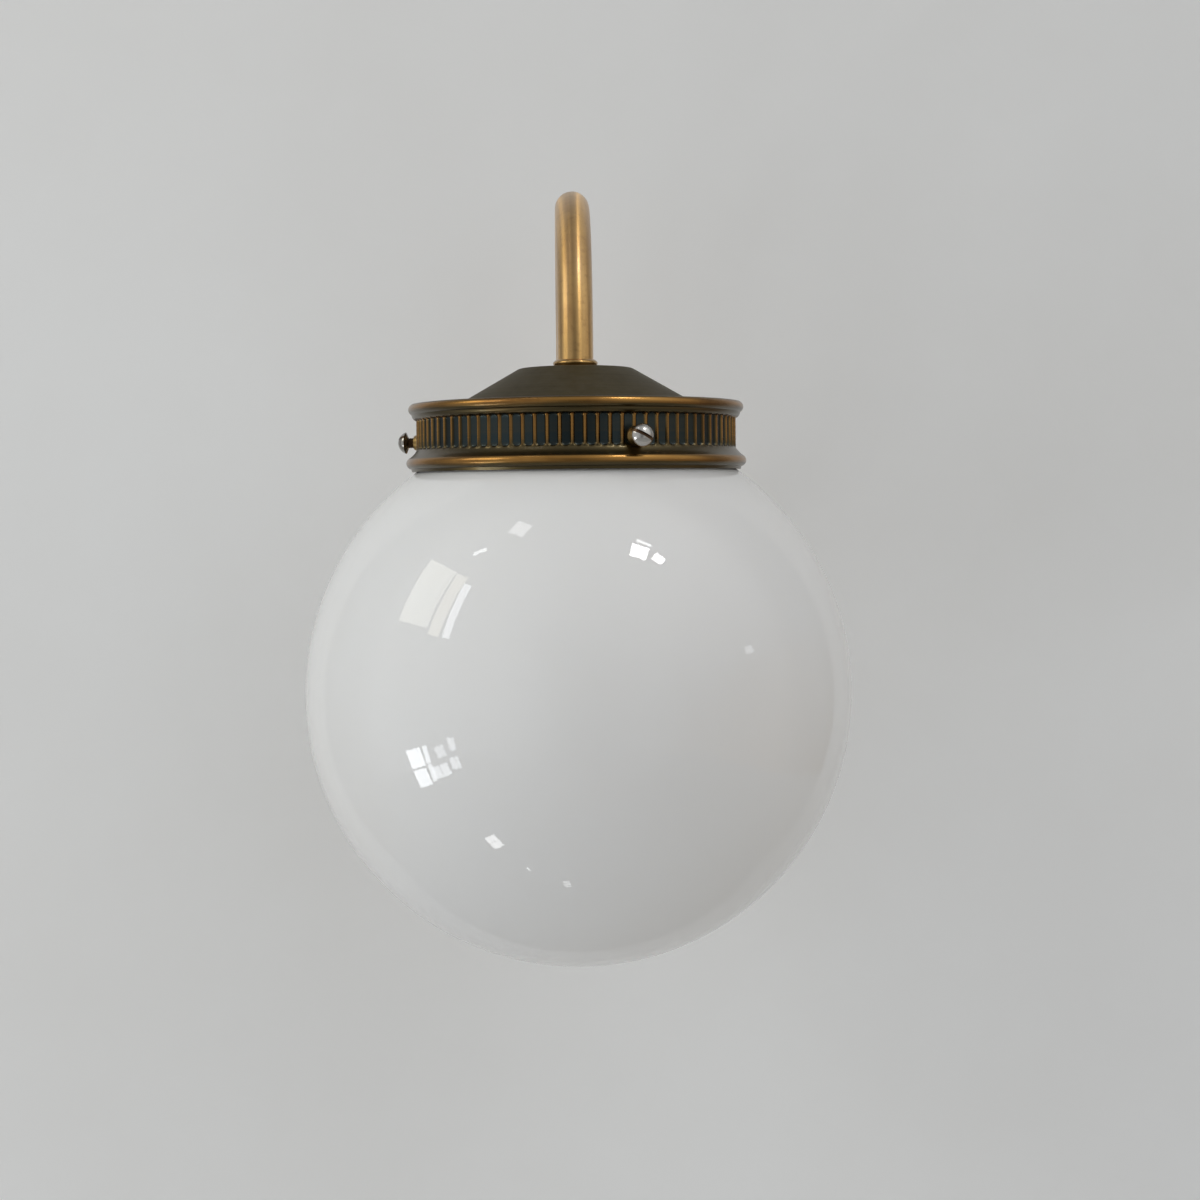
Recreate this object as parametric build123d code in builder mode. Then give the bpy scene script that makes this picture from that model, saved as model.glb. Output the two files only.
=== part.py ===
from build123d import *
import math
import os

# A wall lamp. A brass swan-neck arm carries a fluted gallery, and three screws in the gallery
# hold an opal glass globe by its lip. Sizes are in millimetres.
# +Z is up, the wall is the plane Y = 0, and the lamp stands out along -Y.
# The origin is the middle of the two wall slots, on the wall.
# A thread is a plain cylinder at its outer diameter, with a small gap in its nut.

os.makedirs("parts", exist_ok=True)

# ---- Clearances ----
fit_gap = 0.05  # radial gap of a pin, spigot or edge in its seat
thread_gap = 0.03  # radial gap of a thread in its nut
pass_gap = 0.3  # gap between pieces that move past each other

# ---- Arm: a tube out of the wall plate, up, over and down to the lamp axis ----
reach = 130.0  # wall to lamp axis
tube_r = 5.0
tube_wall = 1.0
tube_proud = 1.2  # tube past the nut behind the wall plate's front
tube_tail = 6.5  # tube below the nut under the cover, inside the lampholder
elbow_r = 20.0  # bend off the wall plate, at the centreline
leg_out = 43.0  # wall to the back leg's centreline
arch_rise = 6.6  # straight leg above the gallery cover
collar_r = 6.2
collar_h = 2.4
collar_round = 1.1

# ---- Gallery band, from its rim up ----
rim_z = 40.7  # height of the rim over the wall slots
rim_h = 0.75
rim_wall = 1.1
lower_bead_h = 2.9
lower_bead_out = 1.33  # bead past the rim
skirt_h = 2.15  # slope from the lower bead up to the flutes
skirt_out = 2.1  # foot of the slope past the ridges
skirt_sag = 0.15  # hollow of the slope below its straight chord
flute_h = 8.2
flute_depth = 0.5
flute_land = 0.55  # ridge left between two flutes
flute_pitch = 3.25
upper_cove_h = 1.6
upper_bead_h = 2.8
upper_bead_out = 2.12  # bead past the ridges
band_wall = 1.1
cove_out = 1.25  # top of the upper cove past the ridges
cove_sag = 0.35  # hollow of the cove below its straight chord
band_step = 1.3  # bore's step out, under the flutes
cover_ledge = 1.25  # ledge in the band under the cover's edge

# ---- Gallery cover ----
cover_wall = 1.0
cover_rise = 9.7  # band top to cover top
cover_sink = 0.9  # cover's flat ring below the band top
cone_top_r = 15.6
cone_base_r = 34.0
cone_round = 3.0

# ---- Gallery screws and their bushes ----
screw_azimuths = {"front": 19.5, "left": -100.5, "rear": 139.5}  # from the front towards +X
slot_turns = {"front": -28.0, "left": 35.0, "rear": 10.0}
screw_rise = 8.3  # screw axis over the rim
screw_r = 1.45
screw_point = 0.5  # chamfer at the tip
head_r = 3.0
head_cone_h = 0.7  # cone under the head
head_dome_h = 2.2
head_stand = 1.7  # bush face to head
slot_w = 0.8
slot_reach = 3.0  # length of a slot's cutter, in head radii
slot_depth = 1.2
bush_r = 2.65
bush_out = 2.05  # bush face past the ridges
bush_edge = 0.5  # straight edge of the bush past the ridges, before it tapers
bush_nose_r = 1.9
bush_spigot_r = 2.2
bush_inset = 0.65  # spigot past the band's bore
seat_depth = 0.65  # flat seat in the band, from the ridges

# ---- Globe ----
globe_r = 75.0
globe_wall = 2.6
neck_r = 38.5
neck_wall = 2.5
neck_h = 6.4  # sphere to the underside of the lip
lip_out = 2.5  # lip past the neck
lip_h = 3.25
lip_room = 1.85  # lip to the band's bore
lip_round = 1.0
shoulder_round = 1.5

# ---- Nuts and washers on the tube ----
nut_flats = 14.0
nut_h = 3.0
washer_r = 8.6
washer_h = 0.8

# ---- Wall plate ----
plate_r = 45.0
plate_wall = 1.0
plate_depth = 20.0
plate_rim_depth = 10.0
plate_boss_r = 14.0
plate_ring_w = 5.0  # flat ring between the rim and the cone
plate_round = 3.0

# ---- Wall bracket and side screws ----
bracket_t = 2.0
strap_w = 18.0
strap_end_gap = 5.0  # strap end to the plate's rim
tail_w = 22.0
tail_l = 22.0
ear_w = 10.0
ear_t = 2.0
ear_gap = 1.0  # ear to the plate's rim
side_head_r = 2.75
side_head_h = 2.2
wall_slot_spacing = 56.0
wall_slot_l = 10.0
wall_slot_w = 4.5
cable_hole_r = 6.0

# ---- Wires ----
wire_r = 1.05
wire_ring_r = 1.4  # wires' distance from the tube's centreline
wire_bend_r = 7.5  # bend off the tube's inner end, at the bundle's middle
wire_straight = 0.5  # straight run before a clamp
lead_loop_r = 6.5
wire_bush_r = 4.6
wire_bush_wall = 0.75
wire_bush_flange = 1.0
wire_bush_l = 4.0

# ---- Terminal block ----
block_w = 19.0
block_t = 8.5
block_h = 12.0
block_round = 0.5
block_top_z = -18.0
way_pitch = 6.0
way_depth = 4.0  # middle of a way over the bracket
clamp_wall = 0.65
clamp_l = 10.0
clamp_entry = 4.0  # wire inside the block
clamp_screw_r = 1.2
clamp_screw_spacing = 5.0
block_screw_r = 0.9
block_screw_head_r = 1.6
block_screw_head_h = 1.0

# ---- Bracket earth ----
earth_x = 2 * lead_loop_r
earth_z = -6.0
earth_screw_r = 1.45
earth_head_r = 2.8
earth_head_h = 2.0
tag_r = 3.8
tag_t = 0.8
tag_w = 3.0
tag_drop = 6.5  # screw to the top of the crimp barrel
tag_barrel_l = 5.0
tag_barrel_wall = 0.65

# ---- Lampholder ----
boss_r = 7.5
boss_h = 7.5
cap_r = 20.2
cap_wall = 1.0
cap_h = 19.3  # cap below its boss
cap_round = 7.0
barrel_gap = 0.1
barrel_wall = 0.9
barrel_h = 36.5
barrel_overlap = 3.5  # barrel inside the cap
core_h = 9.0
core_skirt_h = 20.0
core_skirt_wall = 2.05
shell_bore_r = 13.55
shell_wall = 0.55
shell_h = 22.0
terminal_size = 5.0
terminal_ring_r = 9.0  # terminals' distance from the lamp axis
terminal_entry = 3.0  # wire inside its terminal
terminal_azimuths = {"live": -90.0, "neutral": 90.0, "earth": 180.0}
terminal_screw_r = 0.9
terminal_head_r = 1.3
terminal_head_h = 1.2
contact_t = 0.6
contact_drop = 2.4
contact_w = 6.0
contact_tip = 4.0  # flat end of the contact past the lamp axis
contact_stem_r = 1.2
ring_out = 2.3  # shade ring past the cap
ring_h = 4.0
ring_up = 2.0  # ring's underside over the barrel's end
ring_round = 0.8

# ---- Lamp ----
bulb_l = 75.0
bulb_r = 22.5
bulb_wall = 0.8
bulb_neck_round = 7.0
glass_in_cap = 4.0
lamp_cap_wall = 0.4
lamp_cap_h = 20.5
button_r = 4.5
button_h = 0.8
insulator_h = 3.4
stem_r = 3.0
spider_r = 7.5
spider_t = 0.8
filament_r = 0.8
filament_l = 25.0
filament_ring_r = 6.0
filament_count = 4
filament_drop = 12.0  # lamp cap's end to the upper spider

# ---- Heights on the lamp axis, worked out from the sizes above ----
lower_bead_z = rim_z + rim_h
skirt_z = lower_bead_z + lower_bead_h
flute_z = skirt_z + skirt_h
upper_cove_z = flute_z + flute_h
upper_bead_z = upper_cove_z + upper_cove_h
band_top_z = upper_bead_z + upper_bead_h
cover_ring_z = band_top_z - cover_sink
ledge_z = cover_ring_z - cover_wall
cover_top_z = band_top_z + cover_rise
arch_z = cover_top_z + arch_rise
screw_z = rim_z + screw_rise
lip_under_z = screw_z + screw_r + pass_gap
lip_top_z = lip_under_z + lip_h
shoulder_z = lip_under_z - neck_h
globe_z = shoulder_z - math.sqrt(globe_r**2 - neck_r**2)
nut_top_z = cover_top_z - cover_wall - washer_h
boss_top_z = nut_top_z - nut_h
tube_end_z = boss_top_z - tube_tail
cap_top_z = boss_top_z - boss_h
cap_end_z = cap_top_z - cap_h
barrel_top_z = cap_end_z + barrel_overlap
barrel_end_z = barrel_top_z - barrel_h
core_under_z = barrel_top_z - core_h
contact_z = core_under_z - contact_drop - contact_t
lamp_top_z = contact_z - pass_gap
insulator_top_z = lamp_top_z - button_h
lamp_cap_z = insulator_top_z - insulator_h
lamp_cap_end_z = lamp_cap_z - lamp_cap_h
bulb_z = lamp_top_z - bulb_l + bulb_r
spider_z = lamp_cap_end_z - filament_drop

# ---- Radii and places worked out from the sizes above ----
lip_r = neck_r + lip_out
bore_r = lip_r + lip_room
ridge_r = bore_r + band_wall
rim_bore_r = math.sqrt(globe_r**2 - (rim_z - globe_z) ** 2) + pass_gap
rim_r = rim_bore_r + rim_wall
lower_bead_r = rim_r + lower_bead_out
upper_bead_r = ridge_r + upper_bead_out
cover_r = bore_r + cover_ledge - fit_gap
tube_bore_r = tube_r - tube_wall
tube_hole_r = tube_r + thread_gap
arch_r = (reach - leg_out) / 2  # bend over the top, at the centreline
back_leg_y = -leg_out
elbow_y = back_leg_y + elbow_r
plate_back = plate_depth - plate_wall  # inner face of the plate's front
nut_back = plate_back - washer_h - nut_h
tube_end = nut_back - tube_proud
bend_y = -(tube_end - wire_bush_flange)
way_y = -(bracket_t + way_depth)
clamp_bore_r = wire_r + fit_gap
clamp_r = clamp_bore_r + clamp_wall
seat_s = ridge_r - seat_depth
bush_face_s = ridge_r + bush_out
screw_tip_s = neck_r + pass_gap
head_under_s = bush_face_s + head_stand
head_edge_s = head_under_s + head_cone_h
head_top_s = head_edge_s + head_dome_h
barrel_r = cap_r - cap_wall - barrel_gap
core_r = barrel_r - barrel_wall - barrel_gap
shell_r = shell_bore_r + shell_wall
skirt_bore_r = shell_r + fit_gap
lamp_cap_r = shell_bore_r - pass_gap - fit_gap
bulb_neck_r = lamp_cap_r - lamp_cap_wall - fit_gap
flute_count = round(2 * math.pi * ridge_r / flute_pitch)
flute_chord = 2 * math.pi * ridge_r / flute_count - flute_land
flute_r = flute_chord**2 / (8 * flute_depth) + flute_depth / 2
rim_inner_r = plate_r - plate_wall
ear_x = rim_inner_r - ear_gap
ear_l = plate_rim_depth - plate_round - bracket_t  # up to where the rim turns in
side_screw_y = -(bracket_t + ear_l / 2)

# ---- Planes and axes ----
lamp_axis = Axis((0, -reach, 0), (0, 0, 1))
lamp_section = Plane(origin=(0, -reach, 0), x_dir=(1, 0, 0), z_dir=(0, -1, 0))


def level_plane(height):
    """A level plane with its origin on the lamp axis."""
    return Plane(origin=(0, -reach, height))


def outward(azimuth):
    """Unit vector away from the lamp axis, at an azimuth counted from the front towards +X."""
    angle = math.radians(azimuth)
    return Vector(math.sin(angle), -math.cos(angle), 0)


def facing_plane(azimuth, distance, height):
    """An upright plane that faces away from the lamp axis, at a distance from it."""
    away = outward(azimuth)
    middle = Vector(0, -reach, height) + away * distance
    return Plane(origin=middle, x_dir=(-away.Y, away.X, 0), z_dir=away)


def radial_section(azimuth, height):
    """An upright plane through the lamp axis: first coordinate away from the axis, second up."""
    away = outward(azimuth)
    return Plane(origin=(0, -reach, height), x_dir=away, z_dir=away.cross(Vector(0, 0, 1)))


def radial_axis(azimuth, height):
    """The line from the lamp axis outwards at an azimuth and a height."""
    return Axis((0, -reach, height), outward(azimuth))


def corner(sketch, across, up):
    """The corner of a sketch that lies nearest a point of its plane."""
    return sketch.vertices().sort_by_distance((across, up))[0]


def save(piece, name):
    """Names a piece and writes it."""
    piece.part.label = name
    export_step(piece.part, f"parts/{name}.step")


# =============================== Gallery ===============================

# Band: a spun strip with a rolled bead at each edge. Between them, from the foot, are a sloping
# skirt, a fluted belt and a cove.
with BuildPart() as flute_cutter:
    Cylinder(flute_r, flute_h - flute_chord)
    with Locations((0, 0, (flute_h - flute_chord) / 2), (0, 0, (flute_chord - flute_h) / 2)):
        Sphere(flute_r)

with BuildPart(level_plane(flute_z + flute_h / 2)) as gallery_band:
    with BuildSketch(lamp_section):
        with BuildLine():
            skirt_r = ridge_r + skirt_out
            cove_r = ridge_r + cove_out
            Line((rim_bore_r, rim_z), (rim_r, rim_z))
            Line((rim_r, rim_z), (rim_r, lower_bead_z))
            ThreePointArc(
                (rim_r, lower_bead_z),
                (lower_bead_r, lower_bead_z + lower_bead_h / 2),
                (skirt_r, skirt_z),
            )
            SagittaArc((skirt_r, skirt_z), (ridge_r, flute_z), skirt_sag)
            Line((ridge_r, flute_z), (ridge_r, upper_cove_z))
            SagittaArc((ridge_r, upper_cove_z), (cove_r, upper_bead_z), cove_sag)
            ThreePointArc(
                (cove_r, upper_bead_z),
                (upper_bead_r, upper_bead_z + upper_bead_h / 2),
                (cove_r, band_top_z),
            )
            Polyline(
                (cove_r, band_top_z),
                (bore_r + cover_ledge, band_top_z),
                (bore_r + cover_ledge, ledge_z),
                (bore_r, ledge_z),
                (bore_r, flute_z - band_step),
                (rim_bore_r, skirt_z - band_step),
                (rim_bore_r, rim_z),
            )
        make_face()
    revolve(axis=lamp_axis)
    with PolarLocations(ridge_r - flute_depth + flute_r, flute_count, start_angle=-90):
        add(flute_cutter.part, mode=Mode.SUBTRACT)
    for azimuth in screw_azimuths.values():
        with BuildSketch(facing_plane(azimuth, seat_s, screw_z)):
            Circle(bush_r + fit_gap)
        extrude(amount=bush_out + seat_depth, mode=Mode.SUBTRACT)
        with BuildSketch(facing_plane(azimuth, seat_s, screw_z)):
            Circle(bush_spigot_r + fit_gap)
        extrude(amount=-2 * band_wall, mode=Mode.SUBTRACT)
save(gallery_band, "gallery_band")

# Cover: a spun sheet, flat at its edge and top, with a cone between. Its edge lies on the ledge.
with BuildPart() as gallery_cover:
    with BuildSketch(lamp_section):
        with BuildLine():
            FilletPolyline(
                (cover_r, cover_ring_z),
                (cone_base_r, cover_ring_z),
                (cone_top_r, cover_top_z),
                (tube_hole_r, cover_top_z),
                radius=cone_round,
            )
            offset(amount=cover_wall, side=Side.LEFT)
        make_face()
    revolve(axis=lamp_axis)
save(gallery_cover, "gallery_cover")

# Bushes: the threaded seats of the three screws, each riveted through the band.
with BuildPart() as gallery_bushes:
    for azimuth in screw_azimuths.values():
        with BuildSketch(radial_section(azimuth, screw_z)):
            with BuildLine():
                Polyline(
                    (bore_r - bush_inset, screw_r + fit_gap),
                    (bore_r - bush_inset, bush_spigot_r),
                    (seat_s, bush_spigot_r),
                    (seat_s, bush_r),
                    (ridge_r + bush_edge, bush_r),
                    (bush_face_s, bush_nose_r),
                    (bush_face_s, screw_r + fit_gap),
                    close=True,
                )
            make_face()
        revolve(axis=radial_axis(azimuth, screw_z))
save(gallery_bushes, "gallery_bushes")

# Gallery screws: slotted, with a domed head. Each points at the globe's neck, under its lip.
for place, azimuth in screw_azimuths.items():
    with BuildPart() as gallery_screw:
        with BuildSketch(radial_section(azimuth, screw_z)):
            with BuildLine():
                Polyline(
                    (head_top_s, 0),
                    (screw_tip_s, 0),
                    (screw_tip_s, screw_r - screw_point),
                    (screw_tip_s + screw_point, screw_r),
                    (head_under_s, screw_r),
                    (head_edge_s, head_r),
                )
                TangentArc((head_top_s, 0), (head_edge_s, head_r), tangent=(0, 1))
            make_face()
        revolve(axis=radial_axis(azimuth, screw_z))
        with BuildSketch(facing_plane(azimuth, head_top_s, screw_z)):
            Rectangle(slot_reach * head_r, slot_w, rotation=slot_turns[place])
        extrude(amount=-slot_depth, mode=Mode.SUBTRACT)
    save(gallery_screw, f"gallery_screw_{place}")

# ================================ Globe ================================

# A blown sphere with a short neck and a rolled lip.
with BuildPart() as globe:
    inner_r = globe_r - globe_wall
    neck_bore_r = neck_r - neck_wall
    inner_shoulder_z = globe_z + math.sqrt(inner_r**2 - neck_bore_r**2)
    with BuildSketch(lamp_section) as globe_section:
        with BuildLine():
            ThreePointArc((0, globe_z - globe_r), (globe_r, globe_z), (neck_r, shoulder_z))
            Polyline(
                (neck_r, shoulder_z),
                (neck_r, lip_under_z),
                (lip_r, lip_under_z),
                (lip_r, lip_top_z),
                (neck_bore_r, lip_top_z),
                (neck_bore_r, inner_shoulder_z),
            )
            ThreePointArc(
                (neck_bore_r, inner_shoulder_z), (inner_r, globe_z), (0, globe_z - inner_r)
            )
            Line((0, globe_z - inner_r), (0, globe_z - globe_r))
        make_face()
        fillet(corner(globe_section, neck_r, shoulder_z), shoulder_round)
        fillet(corner(globe_section, neck_bore_r, inner_shoulder_z), shoulder_round)
        fillet(corner(globe_section, lip_r, lip_under_z), lip_round)
        fillet(corner(globe_section, lip_r, lip_top_z), lip_round)
        fillet(corner(globe_section, neck_bore_r, lip_top_z), lip_round)
    revolve(axis=lamp_axis)
save(globe, "globe")

# ================================= Arm =================================

with BuildLine(Plane.YZ) as arm_line:
    stub = Line((-tube_end, 0), (elbow_y, 0))
    elbow = JernArc(stub @ 1, (-1, 0), elbow_r, -90)
    back_leg = Line(elbow @ 1, (back_leg_y, arch_z))
    arch = JernArc(back_leg @ 1, (0, 1), arch_r, 180)
    Line(arch @ 1, (-reach, tube_end_z))

with BuildPart() as swan_neck_arm:
    with BuildSketch(Plane.XZ.offset(tube_end)):
        Circle(tube_r)
        Circle(tube_bore_r, mode=Mode.SUBTRACT)
    sweep(path=arm_line.wires()[0])
save(swan_neck_arm, "swan_neck_arm")

# A turned collar lies on the cover round the tube, and another on the wall plate.
collar_seats = {
    "arm_gallery_collar": level_plane(cover_top_z),
    "arm_wall_collar": Plane.XZ.offset(plate_depth),
}
for name, seat in collar_seats.items():
    with BuildPart() as collar:
        with BuildSketch(seat):
            Circle(collar_r)
            Circle(tube_hole_r, mode=Mode.SUBTRACT)
        extrude(amount=collar_h)
        rolled = collar.edges().filter_by(GeomType.CIRCLE).group_by(SortBy.RADIUS)[-1]
        fillet(rolled, collar_round)
    save(collar, name)

# A lock washer and a nut hold each end of the tube: under the cover and behind the wall plate.
nut_seats = {
    "arm_gallery": level_plane(boss_top_z),
    "arm_wall": Plane.XZ.offset(nut_back),
}
for name, seat in nut_seats.items():
    with BuildPart() as nut:
        with BuildSketch(seat):
            RegularPolygon(nut_flats / 2, 6, major_radius=False)
            Circle(tube_hole_r, mode=Mode.SUBTRACT)
        extrude(amount=nut_h)
    save(nut, f"{name}_nut")
    with BuildPart() as washer:
        with BuildSketch(seat.offset(nut_h)):
            Circle(washer_r)
            Circle(tube_hole_r, mode=Mode.SUBTRACT)
        extrude(amount=washer_h)
    save(washer, f"{name}_lock_washer")

# The wire bush lines the tube's inner end, so that the wires meet no sharp edge.
with BuildPart() as arm_wire_bush:
    with BuildSketch(Plane.XZ.offset(tube_end - wire_bush_flange)):
        Circle(wire_bush_r)
    extrude(amount=wire_bush_flange)
    with BuildSketch(Plane.XZ.offset(tube_end)):
        Circle(tube_bore_r - fit_gap)
    extrude(amount=wire_bush_l)
    with BuildSketch(Plane.XZ.offset(tube_end - wire_bush_flange)):
        Circle(tube_bore_r - fit_gap - wire_bush_wall)
    extrude(amount=wire_bush_flange + wire_bush_l, mode=Mode.SUBTRACT)
save(arm_wire_bush, "arm_wire_bush")

# ============================= Wall fixing =============================

# Wall plate: a spun dish with a straight rim, a cone and a flat middle.
with BuildPart() as wall_plate:
    with BuildSketch(Plane.XY):
        with BuildLine():
            FilletPolyline(
                (plate_r, 0),
                (plate_r, -plate_rim_depth),
                (plate_r - plate_ring_w, -plate_rim_depth),
                (plate_boss_r, -plate_depth),
                (tube_hole_r, -plate_depth),
                radius=plate_round,
            )
            offset(amount=plate_wall, side=Side.RIGHT)
        make_face()
    revolve(axis=Axis.Y)
    with BuildSketch(Plane.YZ):
        with Locations((side_screw_y, 0)):
            Circle(screw_r + pass_gap)
    extrude(amount=plate_r + fit_gap, both=True, mode=Mode.SUBTRACT)
save(wall_plate, "wall_plate")

# Bracket: a strap with two bent ears for the plate's side screws and a tail for the block.
strap_l = 2 * (rim_inner_r - strap_end_gap)
block_bottom_z = block_top_z - block_h
block_middle_z = block_top_z - block_h / 2
with BuildPart() as wall_bracket:
    with BuildSketch(Plane.XZ):
        Rectangle(strap_l, strap_w)
        Rectangle(2 * ear_x, ear_w)
        with Locations((0, -(strap_w + tail_l) / 2)):
            Rectangle(tail_w, tail_l)
        Circle(cable_hole_r, mode=Mode.SUBTRACT)
        with GridLocations(wall_slot_spacing, 0, 2, 1):
            SlotOverall(wall_slot_l, wall_slot_w, mode=Mode.SUBTRACT)
        with Locations((earth_x, earth_z)):
            Circle(earth_screw_r + fit_gap, mode=Mode.SUBTRACT)
        with Locations((way_pitch / 2, block_middle_z)):
            Circle(block_screw_r + fit_gap, mode=Mode.SUBTRACT)
    extrude(amount=bracket_t)
    with BuildSketch(Plane.XZ.offset(bracket_t)):
        with GridLocations(2 * ear_x - ear_t, 0, 2, 1):
            Rectangle(ear_t, ear_w)
    extrude(amount=ear_l)
    bends = wall_bracket.edges().filter_by(Axis.Z).filter_by_position(Axis.Y, -fit_gap, fit_gap)
    fillet(bends.filter_by(lambda bend: abs(bend.center().X) > ear_x - ear_t), ear_t / 2)
    with BuildSketch(Plane.YZ):
        with Locations((side_screw_y, 0)):
            Circle(screw_r + fit_gap)
    extrude(amount=plate_r, both=True, mode=Mode.SUBTRACT)
save(wall_bracket, "wall_bracket")

# Two side screws hold the plate to the bracket's ears.
with BuildPart() as wall_plate_screws:
    with BuildSketch(Plane.YZ.offset(plate_r + fit_gap)):
        with Locations((side_screw_y, 0)):
            Circle(side_head_r)
    extrude(amount=side_head_h)
    head_rims = wall_plate_screws.edges().filter_by(GeomType.CIRCLE).group_by(Axis.X)[-1]
    fillet(head_rims, side_head_h / 2)
    with BuildSketch(Plane.YZ.offset(plate_r + fit_gap + side_head_h)):
        with Locations((side_screw_y, 0)):
            Rectangle(slot_reach * side_head_r, slot_w)
    extrude(amount=-side_head_h / 2, mode=Mode.SUBTRACT)
    with BuildSketch(Plane.YZ.offset(plate_r + fit_gap)):
        with Locations((side_screw_y, 0)):
            Circle(screw_r)
    extrude(amount=ear_x - ear_t - plate_r - fit_gap)
    mirror(about=Plane.YZ)
save(wall_plate_screws, "wall_plate_screws")

# ============================ Terminal block ============================

way_xs = [-way_pitch, 0, way_pitch]
block_face_y = -(bracket_t + block_t)
clamp_end = way_y - clamp_bore_r  # wires' front side, where the clamp screws press

with BuildPart() as terminal_block:
    with BuildSketch(Plane.XY.offset(block_bottom_z)):
        with Locations((0, -bracket_t - block_t / 2)):
            RectangleRounded(block_w, block_t, block_round)
        with Locations([(x, way_y) for x in way_xs]):
            Circle(clamp_r + fit_gap, mode=Mode.SUBTRACT)
    extrude(amount=block_h)
    with BuildSketch(Plane.XZ.offset(bracket_t + block_t)):
        with Locations((0, block_middle_z)):
            with GridLocations(way_pitch, clamp_screw_spacing, len(way_xs), 2):
                Circle(clamp_screw_r + pass_gap)
    extrude(amount=way_depth - block_t, mode=Mode.SUBTRACT)
    with BuildSketch(Plane.XZ.offset(bracket_t)):
        with Locations((way_pitch / 2, block_middle_z)):
            Circle(block_screw_r + fit_gap)
    extrude(amount=block_t, mode=Mode.SUBTRACT)
save(terminal_block, "terminal_block")

with BuildPart() as terminal_block_clamps:
    with BuildSketch(Plane.XY.offset(block_middle_z - clamp_l / 2)):
        with Locations([(x, way_y) for x in way_xs]):
            Circle(clamp_r)
            Circle(clamp_bore_r, mode=Mode.SUBTRACT)
    extrude(amount=clamp_l)
    with BuildSketch(Plane.XZ.offset(-way_y)):
        with Locations((0, block_middle_z)):
            with GridLocations(way_pitch, clamp_screw_spacing, len(way_xs), 2):
                Circle(clamp_screw_r + fit_gap)
    extrude(amount=block_t, mode=Mode.SUBTRACT)
save(terminal_block_clamps, "terminal_block_clamps")

with BuildPart() as terminal_block_screws:
    with BuildSketch(Plane.XZ.offset(-clamp_end)):
        with Locations((0, block_middle_z)):
            with GridLocations(way_pitch, clamp_screw_spacing, len(way_xs), 2):
                Circle(clamp_screw_r)
    extrude(amount=clamp_end - block_face_y - pass_gap)
    with BuildSketch(Plane.XZ.offset(-block_face_y - pass_gap)):
        with Locations((0, block_middle_z)):
            with GridLocations(way_pitch, clamp_screw_spacing, len(way_xs), 2):
                Rectangle(slot_reach * clamp_screw_r, slot_w / 2)
    extrude(amount=-slot_w, mode=Mode.SUBTRACT)
save(terminal_block_screws, "terminal_block_screws")

with BuildPart() as terminal_block_fixing:
    with BuildSketch(Plane.XZ.offset(bracket_t + block_t)):
        with Locations((way_pitch / 2, block_middle_z)):
            Circle(block_screw_head_r)
    extrude(amount=block_screw_head_h)
    with BuildSketch(Plane.XZ.offset(bracket_t + block_t)):
        with Locations((way_pitch / 2, block_middle_z)):
            Circle(block_screw_r)
    extrude(amount=-(block_t + bracket_t - fit_gap))
save(terminal_block_fixing, "terminal_block_fixing_screw")

# ============================ Bracket earth ============================

with BuildPart() as earth_screw:
    with BuildSketch(Plane.XZ.offset(bracket_t + tag_t)):
        with Locations((earth_x, earth_z)):
            Circle(earth_head_r)
    extrude(amount=earth_head_h)
    with BuildSketch(Plane.XZ.offset(bracket_t + tag_t + earth_head_h)):
        with Locations((earth_x, earth_z)):
            Rectangle(slot_reach * earth_head_r, slot_w)
    extrude(amount=-earth_head_h / 2, mode=Mode.SUBTRACT)
    with BuildSketch(Plane.XZ.offset(fit_gap)):
        with Locations((earth_x, earth_z)):
            Circle(earth_screw_r)
    extrude(amount=bracket_t + tag_t)
save(earth_screw, "earth_screw")

# Earth tag: an eye under the earth screw, a slanted neck and a crimp barrel round the lead.
neck_z = earth_z - earth_head_r - pass_gap
barrel_top = earth_z - tag_drop
tag_end_z = barrel_top - tag_barrel_l
with BuildPart() as earth_tag:
    with BuildSketch(Plane.XZ.offset(bracket_t)):
        with Locations((earth_x, earth_z)):
            Circle(tag_r)
            Circle(earth_screw_r + fit_gap, mode=Mode.SUBTRACT)
    extrude(amount=tag_t)
    with BuildSketch(Plane.YZ.offset(earth_x - tag_w / 2)):
        with BuildLine():
            Polyline(
                (-bracket_t, neck_z),
                (-bracket_t - tag_t, neck_z),
                (way_y - tag_t, barrel_top),
                (way_y + tag_t, barrel_top),
                (-bracket_t, neck_z - tag_t),
                close=True,
            )
        make_face()
    extrude(amount=tag_w)
    with BuildSketch(Plane.XY.offset(barrel_top)):
        with Locations((earth_x, way_y)):
            Circle(clamp_bore_r + tag_barrel_wall)
    extrude(amount=-tag_barrel_l)
    with BuildSketch(Plane.XY.offset(tag_end_z)):
        with Locations((earth_x, way_y)):
            Circle(clamp_bore_r)
    extrude(amount=tag_barrel_l - tag_t, mode=Mode.SUBTRACT)
save(earth_tag, "earth_tag")

# ================================ Wires ================================

down = Vector(0, 0, -1)
up = Vector(0, 0, 1)


def swerve(start, end, heading):
    """Two equal arcs that leave start along a heading and come to end along the same heading."""
    middle = (start + end) / 2
    first = TangentArc(start, middle, tangent=heading)
    TangentArc(middle, end, tangent=first % 1)
    sideways = (end - start - heading * (end - start).dot(heading)).length
    print(f"  swerve radius {(end - start).length ** 2 / (4 * sideways):.2f} mm")


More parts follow.
